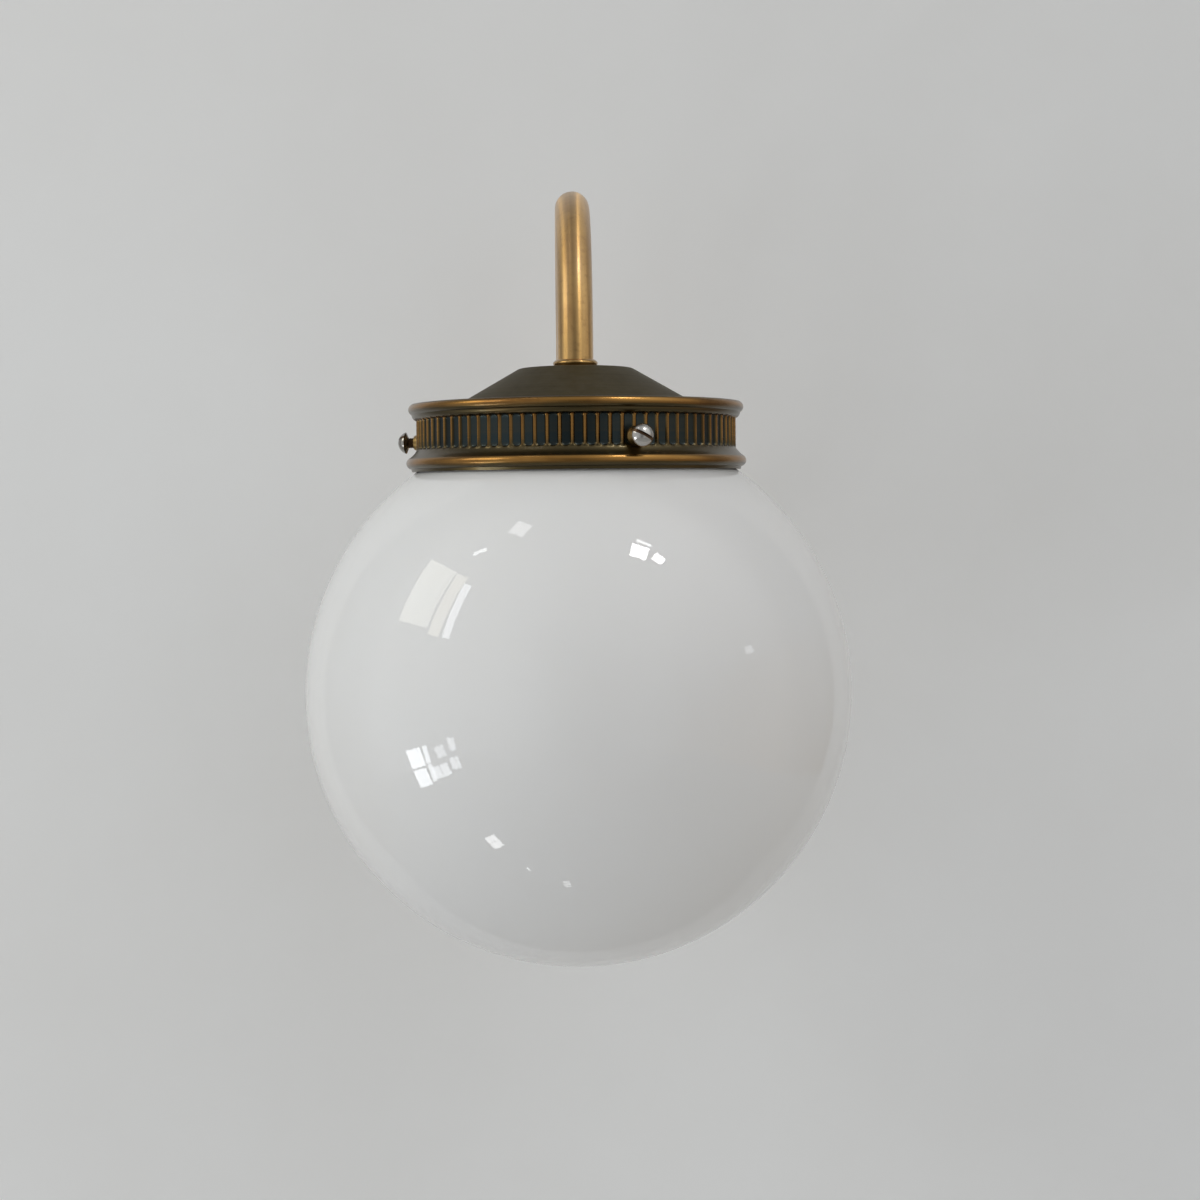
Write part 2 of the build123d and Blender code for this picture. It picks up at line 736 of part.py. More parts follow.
def wire_line(ring_angle, block_x, terminal_azimuth):
    """The line of one wire, from its clamp in the terminal block to its lampholder terminal.

    The wire keeps its place in the tube: across along X, and off the centreline away from the
    wall on the back leg, so each bend's radius is the tube's, more or less that distance.
    """
    across = wire_ring_r * math.cos(math.radians(ring_angle))
    off = wire_ring_r * math.sin(math.radians(ring_angle))
    bend_r = wire_bend_r - off
    clamped = Vector(block_x, way_y, block_top_z - clamp_entry)
    above_block = Vector(block_x, way_y, block_top_z + wire_straight)
    under_bend = Vector(across, bend_y + bend_r, -wire_bend_r)
    at_tube = Vector(across, bend_y, -off)
    at_elbow = Vector(across, elbow_y, -off)
    over_elbow = Vector(across, back_leg_y - off, elbow_r)
    back_top = Vector(across, back_leg_y - off, arch_z)
    crown = Vector(across, back_leg_y - arch_r, arch_z + arch_r - off)
    front_top = Vector(across, -reach + off, arch_z)
    leaving = Vector(across, -reach + off, tube_end_z + pass_gap)
    terminal = Vector(0, -reach, barrel_top_z + terminal_size)
    terminal += outward(terminal_azimuth) * terminal_ring_r
    with BuildLine() as line:
        Line(clamped, above_block)
        swerve(above_block, under_bend, up)
        TangentArc(under_bend, at_tube, tangent=up)
        Line(at_tube, at_elbow)
        TangentArc(at_elbow, over_elbow, tangent=Vector(0, -1, 0))
        Line(over_elbow, back_top)
        ThreePointArc(back_top, crown, front_top)
        Line(front_top, leaving)
        swerve(leaving, terminal + up * wire_straight, down)
        Line(terminal + up * wire_straight, terminal + down * terminal_entry)
    return line.wires()[0]


def save_wire(line, name):
    """Sweeps a wire's round section along its line and writes it."""
    with BuildPart() as wire:
        with BuildSketch(Plane(origin=line @ 0, z_dir=line % 0)):
            Circle(wire_r)
        sweep(path=line)
    share = wire.part.volume / (math.pi * wire_r**2 * line.length)
    print(f"{name}: {line.length:.1f} mm long, volume {share:.4f} of section times length")
    save(wire, name)


save_wire(wire_line(210, -way_pitch, terminal_azimuths["live"]), "wire_live")
save_wire(wire_line(330, way_pitch, terminal_azimuths["neutral"]), "wire_neutral")
save_wire(wire_line(90, 0, terminal_azimuths["earth"]), "wire_earth")

# Earth lead: out of the block's foot, round in a half turn and up into the tag's barrel.
with BuildLine() as lead_line:
    lead_turn_z = block_bottom_z - wire_straight
    Line((0, way_y, block_bottom_z + clamp_entry), (0, way_y, lead_turn_z))
    ThreePointArc(
        (0, way_y, lead_turn_z),
        (lead_loop_r, way_y, lead_turn_z - lead_loop_r),
        (2 * lead_loop_r, way_y, lead_turn_z),
    )
    Line((2 * lead_loop_r, way_y, lead_turn_z), (earth_x, way_y, barrel_top - 2 * tag_t))
save_wire(lead_line.wires()[0], "wire_bracket_earth")

# ============================== Lampholder ==============================

# Cap: a domed shell with a threaded boss for the tube.
with BuildPart() as lampholder_cap:
    with BuildSketch(lamp_section):
        with BuildLine():
            FilletPolyline(
                (tube_hole_r, cap_top_z),
                (cap_r, cap_top_z),
                (cap_r, cap_end_z),
                radius=cap_round,
            )
            offset(amount=cap_wall, side=Side.RIGHT)
        make_face()
    revolve(axis=lamp_axis)
    with BuildSketch(level_plane(cap_top_z)):
        Circle(boss_r)
        Circle(tube_hole_r, mode=Mode.SUBTRACT)
    extrude(amount=boss_h)
save(lampholder_cap, "lampholder_cap")

# Barrel: a plain tube screwed up into the cap round the core.
with BuildPart() as lampholder_barrel:
    with BuildSketch(level_plane(barrel_end_z)):
        Circle(barrel_r)
        Circle(barrel_r - barrel_wall, mode=Mode.SUBTRACT)
    extrude(amount=barrel_h)
save(lampholder_barrel, "lampholder_barrel")

# Core: a porcelain disc with a skirt round the screw shell.
with BuildPart() as lampholder_core:
    with BuildSketch(level_plane(core_under_z)):
        Circle(core_r)
    extrude(amount=core_h)
    with BuildSketch(level_plane(core_under_z)):
        Circle(skirt_bore_r + core_skirt_wall)
        Circle(skirt_bore_r, mode=Mode.SUBTRACT)
    extrude(amount=-core_skirt_h)
    with BuildSketch(level_plane(core_under_z)):
        with Locations((-terminal_ring_r, 0)):
            Circle(contact_stem_r + fit_gap)
    extrude(amount=core_h, mode=Mode.SUBTRACT)
save(lampholder_core, "lampholder_core")

with BuildPart() as lampholder_screw_shell:
    with BuildSketch(level_plane(core_under_z - shell_h)):
        Circle(shell_r)
        Circle(shell_bore_r, mode=Mode.SUBTRACT)
    extrude(amount=shell_h)
save(lampholder_screw_shell, "lampholder_screw_shell")

# Centre contact: a springy strip below the core, on a stem up to the live terminal.
strip_root_x = -terminal_ring_r - contact_stem_r
with BuildPart() as centre_contact:
    with BuildSketch(lamp_section):
        with BuildLine():
            Polyline(
                (strip_root_x, core_under_z),
                (-terminal_ring_r + contact_stem_r, core_under_z),
                (-contact_tip, contact_z + contact_t),
                (contact_tip, contact_z + contact_t),
                (contact_tip, contact_z),
                (-contact_tip - contact_t, contact_z),
                (-terminal_ring_r + contact_stem_r, core_under_z - contact_t),
                (strip_root_x, core_under_z - contact_t),
                close=True,
            )
        make_face()
    extrude(amount=contact_w / 2, both=True)
    with BuildSketch(level_plane(core_under_z - contact_t / 2)):
        with Locations((-terminal_ring_r, 0)):
            Circle(contact_stem_r)
    extrude(amount=core_h + contact_t / 2)
save(centre_contact, "lampholder_centre_contact")

# Terminals: three blocks on the core, for live, neutral and earth, each with a clamp screw.
terminal_screw_z = barrel_top_z + terminal_size - terminal_entry / 2
with BuildPart() as lampholder_terminals:
    with BuildSketch(level_plane(barrel_top_z)):
        for azimuth in terminal_azimuths.values():
            with PolarLocations(terminal_ring_r, 1, start_angle=azimuth - 90):
                Rectangle(terminal_size, terminal_size)
                Circle(clamp_bore_r, mode=Mode.SUBTRACT)
    extrude(amount=terminal_size)
    for azimuth in terminal_azimuths.values():
        with BuildSketch(facing_plane(azimuth, terminal_ring_r, terminal_screw_z)):
            Circle(terminal_screw_r + fit_gap)
        extrude(amount=terminal_size, mode=Mode.SUBTRACT)
save(lampholder_terminals, "lampholder_terminals")

with BuildPart() as lampholder_terminal_screws:
    terminal_face = terminal_ring_r + terminal_size / 2
    for azimuth in terminal_azimuths.values():
        with BuildSketch(facing_plane(azimuth, terminal_ring_r + clamp_bore_r, terminal_screw_z)):
            Circle(terminal_screw_r)
        extrude(amount=terminal_size / 2 - clamp_bore_r)
        with BuildSketch(facing_plane(azimuth, terminal_face, terminal_screw_z)):
            Circle(terminal_head_r)
        extrude(amount=terminal_head_h)
        with BuildSketch(facing_plane(azimuth, terminal_face + terminal_head_h, terminal_screw_z)):
            Rectangle(slot_reach * terminal_head_r, slot_w / 2)
        extrude(amount=-terminal_head_h / 2, mode=Mode.SUBTRACT)
save(lampholder_terminal_screws, "lampholder_terminal_screws")

with BuildPart() as shade_ring:
    with BuildSketch(level_plane(barrel_end_z + ring_up)):
        Circle(cap_r + ring_out)
        Circle(barrel_r + fit_gap, mode=Mode.SUBTRACT)
    extrude(amount=ring_h)
    ring_rims = shade_ring.edges().filter_by(GeomType.CIRCLE).group_by(SortBy.RADIUS)[-1]
    fillet(ring_rims, ring_round)
save(shade_ring, "lampholder_shade_ring")

# ================================= Lamp =================================

# Bulb: a small round bulb on a short neck, cut hollow by the same shape one wall smaller.
with BuildPart() as bulb_glass:
    for shrink, mode in ((0, Mode.ADD), (bulb_wall, Mode.SUBTRACT)):
        ball_r = bulb_r - shrink
        throat_r = bulb_neck_r - shrink
        throat_z = bulb_z + math.sqrt(ball_r**2 - throat_r**2)
        throat_top_z = lamp_cap_end_z + glass_in_cap
        with BuildSketch(lamp_section) as bulb_section:
            with BuildLine():
                Polyline(
                    (0, bulb_z - ball_r),
                    (0, throat_top_z),
                    (throat_r, throat_top_z),
                    (throat_r, throat_z),
                )
                ThreePointArc((throat_r, throat_z), (ball_r, bulb_z), (0, bulb_z - ball_r))
            make_face()
            fillet(corner(bulb_section, throat_r, throat_z), bulb_neck_round + shrink)
        revolve(axis=lamp_axis, mode=mode)
save(bulb_glass, "bulb_glass")

with BuildPart() as bulb_screw_cap:
    with BuildSketch(level_plane(lamp_cap_end_z)):
        Circle(lamp_cap_r)
        Circle(lamp_cap_r - lamp_cap_wall, mode=Mode.SUBTRACT)
    extrude(amount=lamp_cap_h)
save(bulb_screw_cap, "bulb_screw_cap")

with BuildPart() as bulb_insulator:
    with BuildSketch(lamp_section):
        with BuildLine():
            Polyline(
                (0, lamp_cap_z),
                (lamp_cap_r, lamp_cap_z),
                (button_r + button_h, insulator_top_z),
                (0, insulator_top_z),
                close=True,
            )
        make_face()
    revolve(axis=lamp_axis)
save(bulb_insulator, "bulb_insulator")

with BuildPart() as bulb_contact:
    with BuildSketch(level_plane(insulator_top_z)):
        Circle(button_r)
    extrude(amount=button_h)
save(bulb_contact, "bulb_contact")

# Stem: a glass flare sealed in the neck, a tube, and two spiders that carry the filaments.
spider_gap = filament_l + spider_t
with BuildPart() as bulb_stem:
    with BuildSketch(level_plane(lamp_cap_end_z + glass_in_cap / 2)):
        Circle(bulb_neck_r - bulb_wall - fit_gap)
    extrude(amount=spider_t)
    with BuildSketch(level_plane(spider_z - spider_gap)):
        Circle(stem_r)
    extrude(amount=spider_gap + lamp_cap_end_z + glass_in_cap / 2 - spider_z)
    for spider_height in (spider_z, spider_z - spider_gap):
        with BuildSketch(level_plane(spider_height)):
            Circle(spider_r)
        extrude(amount=spider_t)
save(bulb_stem, "bulb_stem")

with BuildPart() as bulb_filaments:
    with BuildSketch(level_plane(spider_z - filament_l)):
        with PolarLocations(filament_ring_r, filament_count, start_angle=45):
            Circle(filament_r)
    extrude(amount=filament_l)
save(bulb_filaments, "bulb_filaments")
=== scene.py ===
"""A small wall lamp: an opal glass globe under a fluted brass gallery on a swan-neck arm.

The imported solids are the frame. Each sub-assembly below is a class that holds its sizes in
millimetres, builds its surfaces from formulas, and dresses them. Meshes are in metres, in the
frame's own axes: +Z up, the wall is the plane Y = 0, and the lamp stands out along -Y.
"""
import logging
import math
from dataclasses import dataclass, field
from enum import Enum
from typing import Callable, Optional, Sequence

import bmesh
import bpy
import numpy as np
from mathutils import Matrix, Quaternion, Vector


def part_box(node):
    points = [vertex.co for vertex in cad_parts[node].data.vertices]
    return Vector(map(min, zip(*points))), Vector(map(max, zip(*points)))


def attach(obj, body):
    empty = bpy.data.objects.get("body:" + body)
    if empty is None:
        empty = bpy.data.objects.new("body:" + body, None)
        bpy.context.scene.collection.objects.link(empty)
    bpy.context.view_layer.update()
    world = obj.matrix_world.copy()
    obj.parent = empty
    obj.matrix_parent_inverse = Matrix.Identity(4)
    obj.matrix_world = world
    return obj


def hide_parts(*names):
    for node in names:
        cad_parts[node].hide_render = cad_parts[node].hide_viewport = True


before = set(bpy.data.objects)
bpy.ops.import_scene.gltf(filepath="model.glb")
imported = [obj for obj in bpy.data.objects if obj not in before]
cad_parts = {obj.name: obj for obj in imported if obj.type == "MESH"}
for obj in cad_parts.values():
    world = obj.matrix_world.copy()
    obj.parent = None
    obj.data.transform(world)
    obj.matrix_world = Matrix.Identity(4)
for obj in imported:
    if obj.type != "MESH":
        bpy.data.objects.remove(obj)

log = logging.getLogger("wall_lamp")

MM = 0.001
FULL_TURN = 2 * math.pi
Array = np.ndarray
Rgb = tuple[float, float, float]
BLUE_SKY: Rgb = (0.92, 0.96, 1.0)
METAL_DUST: Rgb = (0.32, 0.31, 0.28)
PATINA_DUST: Rgb = (0.30, 0.29, 0.26)


# ============================== Surfaces ==============================


@dataclass(frozen=True)
class Spindle:
    """A place and a direction to turn an outline about.

    A point at a distance across the axis, a turn about it and a height along it lies at
    origin + across * (cos(turn) * side + sin(turn) * (up x side)) + along * up.
    """

    origin: tuple[float, float, float]
    up: tuple[float, float, float]
    side: tuple[float, float, float]

    def place(self, across: Array, turn: Array, along: Array) -> Array:
        """Places points about the spindle. The three arrays broadcast together.

        Args:
            across: distances from the axis.
            turn: turns about it.
            along: heights along it.

        Returns:
            The points, with one dimension more than the arrays.
        """
        up, side = np.array(self.up, float), np.array(self.side, float)
        other = np.cross(up, side)
        across, turn, along = np.broadcast_arrays(across, turn, along)
        return (
            np.array(self.origin, float)
            + (across * np.cos(turn))[..., None] * side
            + (across * np.sin(turn))[..., None] * other
            + along[..., None] * up
        )


@dataclass
class Surface:
    """A grid of points, in millimetres, with what the finishes read at each of them.

    Attributes:
        points: rows x columns x 3 places.
        run: rows x columns x 3 coordinates of the surface rolled out straight, for marks that
            follow it: two go round the piece and the third goes along its outline or its length.
        rub: rows x columns, from 0 where the patina is whole to 1 where it is rubbed off.
        A screw's slot has 0, and its dark colour there is painted shade, with some dirt.
        rows_meet: whether the last row joins the first.
        columns_meet: whether the last column joins the first.
    """

    points: Array
    run: Array
    rub: Array
    rows_meet: bool = False
    columns_meet: bool = True

    def faces(self) -> Array:
        """Joins the grid's points in fours: point (i, j) has the index i * columns + j.

        Returns:
            The quads, count x 4 indices.
        """
        rows, columns = self.points.shape[:2]
        i = np.arange(rows if self.rows_meet else rows - 1)[:, None]
        j = np.arange(columns if self.columns_meet else columns - 1)[None, :]
        down, right = (i + 1) % rows, (j + 1) % columns
        corners = (i * columns + j, down * columns + j, down * columns + right, i * columns + right)
        return np.stack(np.broadcast_arrays(*corners), axis=-1).reshape(-1, 4)


def rounded(corners: Sequence[tuple[float, ...]], closed: bool = False) -> Array:
    """An outline with arcs at its corners.

    A corner is (across, along) or (across, along, radius). Its arc touches both sides of the
    corner, radius * tan(turn / 2) away from it. A straight run gets a point close to each end,
    so that the shading of an arc does not run out into it.

    Args:
        corners: the corners in order.
        closed: whether the last corner joins the first.

    Returns:
        The outline's points, count x 2.
    """
    arc_step, hold = math.radians(12), 0.12
    spots = [np.array(c[:2], float) for c in corners]
    radii = [c[2] if len(c) > 2 else 0.0 for c in corners]
    line: list[Array] = []
    for k, (spot, radius) in enumerate(zip(spots, radii)):
        if radius == 0 or (not closed and k in (0, len(spots) - 1)):
            line.append(spot[None])
            continue
        back, ahead = spots[k - 1] - spot, spots[(k + 1) % len(spots)] - spot
        back, ahead = back / np.linalg.norm(back), ahead / np.linalg.norm(ahead)
        turn = math.pi - math.acos(float(np.clip(back @ ahead, -1, 1)))
        centre = spot + (back + ahead) / np.linalg.norm(back + ahead) * radius / math.cos(turn / 2)
        first = spot + back * radius * math.tan(turn / 2) - centre
        way = np.sign(first[0] * ahead[1] - first[1] * ahead[0])
        angle = way * np.linspace(0, turn, max(3, math.ceil(turn / arc_step) + 1))
        line.append(
            centre
            + np.cos(angle)[:, None] * first
            + np.sin(angle)[:, None] * np.array([-first[1], first[0]])
        )
    points = np.concatenate(line)
    following = np.roll(points, -1, axis=0) if closed else points[1:]
    starts = points[: len(following)]
    length = np.linalg.norm(following - starts, axis=1)
    pieces = [
        np.stack([a, a + (b - a) * hold / size, b - (b - a) * hold / size])
        if size > 5 * hold
        else a[None]
        for a, b, size in zip(starts, following, length)
    ]
    if not closed:
        pieces.append(points[-1:])
    return np.concatenate(pieces)


def shell(corners: Sequence[tuple[float, ...]], wall: float) -> list[tuple[float, ...]]:
    """Corners of a bent sheet: an outline and its copy one wall to its right, joined at both ends.

    A corner of the copy is the old one moved by (n + m) / (1 + n . m) walls, where n and m are
    the unit normals of its two sides. Its radius is one wall more or less.

    Args:
        corners: the corners of one face, each (across, along) or (across, along, radius).
        wall: thickness of the sheet.

    Returns:
        The corners of the closed outline.
    """
    least_radius = 0.2
    spots = np.array([c[:2] for c in corners], float)
    sides = np.diff(spots, axis=0)
    sides /= np.linalg.norm(sides, axis=1)[:, None]
    normals = np.stack([sides[:, 1], -sides[:, 0]], axis=1)
    before, after = np.vstack([normals[:1], normals]), np.vstack([normals, normals[-1:]])
    moved = spots + wall * (before + after) / (1 + (before * after).sum(1))[:, None]
    bend = np.zeros(len(spots))
    bend[1:-1] = np.sign(sides[:-1, 0] * sides[1:, 1] - sides[:-1, 1] * sides[1:, 0])
    copy = [
        (*moved[k], max(c[2] + bend[k] * wall, least_radius)) if len(c) > 2 else tuple(moved[k])
        for k, c in enumerate(corners)
    ]
    return list(corners) + copy[::-1]


def ball_on_neck(ball: float, neck: float, centre: float, top: float, fillet: float) -> Array:
    """Outline of a ball with a neck, from its lowest point to the top of the neck.

    The fillet's circle touches the ball from outside, so its centre is ball + fillet from the
    ball's, and it touches the neck, so that centre is neck + fillet from the axis.

    Args:
        ball: radius of the ball.
        neck: radius of the neck.
        centre: height of the ball's centre.
        top: height of the neck's top.
        fillet: radius of the hollow where they meet.

    Returns:
        The outline's points, count x 2.
    """
    out = neck + fillet
    rise = math.sqrt((ball + fillet) ** 2 - out**2)
    leave = math.atan2(rise, out)
    on_ball = np.linspace(-math.pi / 2, leave, 100)
    on_fillet = np.linspace(leave + math.pi, math.pi, 9)[1:]
    up_neck = np.linspace(centre + rise, top, 5)[1:]
    return np.concatenate([
        np.stack([ball * np.cos(on_ball), centre + ball * np.sin(on_ball)], axis=1),
        np.stack(
            [out + fillet * np.cos(on_fillet), centre + rise + fillet * np.sin(on_fillet)], axis=1
        ),
        np.stack([np.full_like(up_neck, neck), up_neck], axis=1),
    ])


Relief = Callable[[Array, Array, Array], tuple[Array, Array]]


def lathe(
    outline: Array,
    spindle: Spindle,
    around: int | Array = 96,
    closed: bool = False,
    relief: Optional[Relief] = None,
) -> Surface:
    """Turns an outline about a spindle.

    Args:
        outline: count x 2 distances across and heights along the spindle.
        spindle: what it turns about.
        around: the number of even steps in the full turn, or the turns themselves.
        closed: whether the outline closes on itself.
        relief: gives, for turns, distances and heights, what to add to the distance and the rub.

    Returns:
        The surface, one row for each point of the outline.
    """
    turn = np.arange(around) * FULL_TURN / around if isinstance(around, int) else around
    across, along = outline[:, :1], outline[:, 1:]
    added, rub = relief(turn[None, :], across, along) if relief else (0.0, 0.0)
    shape = (len(outline), len(turn))
    walked = np.concatenate([[0], np.cumsum(np.linalg.norm(np.diff(outline, axis=0), axis=1))])
    run = np.stack(
        np.broadcast_arrays(np.cos(turn)[None, :], np.sin(turn)[None, :], walked[:, None]), axis=-1
    )
    return Surface(
        points=spindle.place(across + added, turn[None, :], along),
        run=run,
        rub=np.broadcast_to(rub, shape).astype(float),
        rows_meet=closed,
    )


def thread(pitch: float, depth: float, low: float, high: float) -> Relief:
    """A screw thread cut into an outline between two heights.

    The groove's depth is depth * (1 - cos(phase)) / 2, where the phase grows by a full turn for
    each pitch of height and falls by one for each turn, and it fades over half a pitch at the ends.

    Args:
        pitch: height of one turn of the thread.
        depth: depth of its groove.
        low: height where it starts.
        high: height where it ends.

    Returns:
        The relief for a lathe.
    """

    def cut(turn: Array, across: Array, along: Array) -> tuple[Array, Array]:
        """What the thread takes off at each point, and no rub."""
        phase = FULL_TURN * along / pitch - turn
        fade = np.clip(np.minimum(along - low, high - along) / (pitch / 2), 0, 1)
        return -depth * fade * (1 - np.cos(phase)) / 2, np.zeros(1)

    return cut


def levels(low: float, high: float, step: float) -> Array:
    """Even heights from one to the other, about a step apart."""
    return np.linspace(low, high, max(2, round((high - low) / step) + 1))


# ============================== Finishes ==============================


class Graph:
    """Short-hand for the nodes of a material or of a node group."""

    def __init__(self, tree: bpy.types.NodeTree) -> None:
        """Starts on an empty tree."""
        self.tree = tree
        tree.nodes.clear()

    def add(self, kind: str, sockets: Optional[dict] = None, **settings: object) -> bpy.types.Node:
        """Adds a node, sets its settings, and feeds its inputs from values or other sockets.

        Args:
            kind: the node's type, without "ShaderNode" in front.
            sockets: what goes into each input, by name or place.
            **settings: attributes of the node.

        Returns:
            The new node.
        """
        prefix = "" if kind.startswith("NodeGroup") else "ShaderNode"
        node = self.tree.nodes.new(prefix + kind)
        for name, value in settings.items():
            setattr(node, name, value)
        for name, value in (sockets or {}).items():
            self.feed(node.inputs[name], value)
        return node

    def feed(self, socket: bpy.types.NodeSocket, value: object) -> None:
        """Links a socket to another one, or sets its own value.

        Args:
            socket: the input.
            value: another socket, or what to set, where three numbers can be a colour.
        """
        if isinstance(value, bpy.types.NodeSocket):
            self.tree.links.new(value, socket)
        elif isinstance(value, tuple) and len(value) == 3 and socket.type == "RGBA":
            socket.default_value = (*value, 1.0)
        else:
            socket.default_value = value

    def math(self, operation: str, *values: object) -> bpy.types.NodeSocket:
        """The result of a Math node on one to three values."""
        return self.add("Math", dict(enumerate(values)), operation=operation).outputs[0]

    def spread(
        self, value: object, low: float, high: float, to_low: float, to_high: float
    ) -> bpy.types.NodeSocket:
        """A value moved from one range to another, and held inside it."""
        sockets = {"Value": value, 1: low, 2: high, 3: to_low, 4: to_high}
        return self.add("MapRange", sockets, clamp=True).outputs[0]

    def mix(self, share: object, first: object, second: object) -> bpy.types.NodeSocket:
        """Mixes two colours.

        Args:
            share: how much there is of the second one, from 0 to 1.
            first: a colour or a socket.
            second: a colour or a socket.

        Returns:
            The mixed colour.
        """
        node = self.add("Mix", data_type="RGBA")
        for place, value in ((0, share), (6, first), (7, second)):
            self.feed(node.inputs[place], value)
        return node.outputs[2]

    def noise(self, vector: object, scale: float, detail: float = 3.0) -> bpy.types.NodeSocket:
        """The value of a Noise Texture."""
        sockets = {"Vector": vector, "Scale": scale, "Detail": detail, "Roughness": 0.6}
        return self.add("TexNoise", sockets).outputs[0]

    def group(self, tree: bpy.types.NodeTree, sockets: dict) -> bpy.types.Node:
        """Places a shared effect with its own values.

        Args:
            tree: the effect's node group.
            sockets: what goes into each input, by name.

        Returns:
            The node that holds the effect.
        """
        node = self.add("Group", node_tree=tree)
        for name, value in sockets.items():
            self.feed(node.inputs[name], value)
        return node


def effect(
    name: str, inputs: dict[str, float | str], outputs: Sequence[str]
) -> tuple[bpy.types.NodeTree, Graph, bpy.types.Node, bpy.types.Node]:
    """Starts a shared effect: a node group with named inputs and value outputs.

    Args:
        name: the group's name.
        inputs: the default of each input, or "vector".
        outputs: the names of the outputs.

    Returns:
        The group's tree, its graph, the node of its inputs and the node of its outputs.
    """
    tree = bpy.data.node_groups.new(name, "ShaderNodeTree")
    for label, default in inputs.items():
        kind = "NodeSocketVector" if default == "vector" else "NodeSocketFloat"
        socket = tree.interface.new_socket(label, in_out="INPUT", socket_type=kind)
        if default != "vector":
            socket.default_value = default
    for label in outputs:
        tree.interface.new_socket(label, in_out="OUTPUT", socket_type="NodeSocketFloat")
    graph = Graph(tree)
    return tree, graph, graph.add("NodeGroupInput"), graph.add("NodeGroupOutput")


class Effects:
    """The effects that several finishes share, each built once.

    Attributes:
        made: the materials made so far, by the finish's name.
        marks: the lines and streaks that drawing and spinning leave.
        clouds: patches and specks.
        dust: dust on what faces up.
    """

    def __init__(self) -> None:
        """Builds the node groups."""
        self.made: dict[str, bpy.types.Material] = {}
        self.marks = self._marks()
        self.clouds = self._clouds()
        self.dust = self._dust()

    @staticmethod
    def _marks() -> bpy.types.NodeTree:
        """Fine lines left by drawing or spinning, and broad streaks of tone beside them.

        Returns:
            The effect's node group.
        """
        tree, g, given, out = effect(
            "tool_marks", {"Run": "vector", "Across": 60.0, "Along": 1.0}, ("Lines", "Streaks")
        )
        across, along = given.outputs["Across"], given.outputs["Along"]
        scale = g.add("CombineXYZ", {0: across, 1: across, 2: along}).outputs[0]
        sockets = {0: given.outputs["Run"], 1: scale}
        stretched = g.add("VectorMath", sockets, operation="MULTIPLY").outputs[0]
        g.feed(out.inputs["Lines"], g.noise(stretched, 1.0, 4.0))
        g.feed(out.inputs["Streaks"], g.noise(stretched, 0.13, 3.0))
        return tree

    @staticmethod
    def _clouds() -> bpy.types.NodeTree:
        """Soft patches of tone, as tarnish and handling leave them.

        Returns:
            The effect's node group.
        """
        tree, g, given, out = effect("clouds", {"Place": "vector", "Scale": 40.0}, ("Mask", "Specks"))
        scale = given.outputs["Scale"]
        wide = g.noise(given.outputs["Place"], scale, 5.0)
        g.feed(out.inputs["Mask"], g.spread(wide, 0.35, 0.65, 0.0, 1.0))
        small = g.noise(given.outputs["Place"], g.math("MULTIPLY", scale, 14.0), 2.0)
        g.feed(out.inputs["Specks"], g.spread(small, 0.54, 0.70, 0.0, 1.0))
        return tree

    @staticmethod
    def _dust() -> bpy.types.NodeTree:
        """Thin dust on what faces up.

        Returns:
            The effect's node group.
        """
        tree, g, given, out = effect("dust", {"Place": "vector", "Amount": 0.3}, ("Mask",))
        normal = g.add("NewGeometry").outputs["Normal"]
        up = g.add("SeparateXYZ", {0: normal}).outputs[2]
        facing = g.spread(up, 0.35, 1.0, 0.0, 1.0)
        broken = g.spread(g.noise(given.outputs["Place"], 350.0, 4.0), 0.35, 0.7, 0.2, 1.0)
        g.feed(
            out.inputs["Mask"],
            g.math("MULTIPLY", g.math("MULTIPLY", facing, broken), given.outputs["Amount"]),
        )
        return tree


@dataclass(frozen=True)
class Finish:
    """What all finishes have: a name, and a way to make the material once."""

    name: str

    def material(self, effects: Effects) -> bpy.types.Material:
        """Makes the finish's material when it is first asked for.

        Args:
            effects: the shared effects, which also keep what is made.

        Returns:
            The material.
        """
        if self.name in effects.made:
            return effects.made[self.name]
        made = effects.made[self.name] = bpy.data.materials.new(f"{self.name}_finish")
        made.use_nodes = True
        graph = Graph(made.node_tree)
        out = graph.add("OutputMaterial")
        graph.feed(out.inputs["Surface"], self.shade(graph, effects))
        return made

    def shade(self, g: Graph, effects: Effects) -> bpy.types.NodeSocket:
        """Builds the shader. Each kind of finish has its own.

        Args:
            g: the material's graph.
            effects: the shared effects.

        Returns:
            The shader's output.
        """
        raise NotImplementedError


class Marks(Enum):
    """Which coordinates a metal's tool marks follow."""

    ROLLED_OUT = "run"
    IN_PLACE = "place"


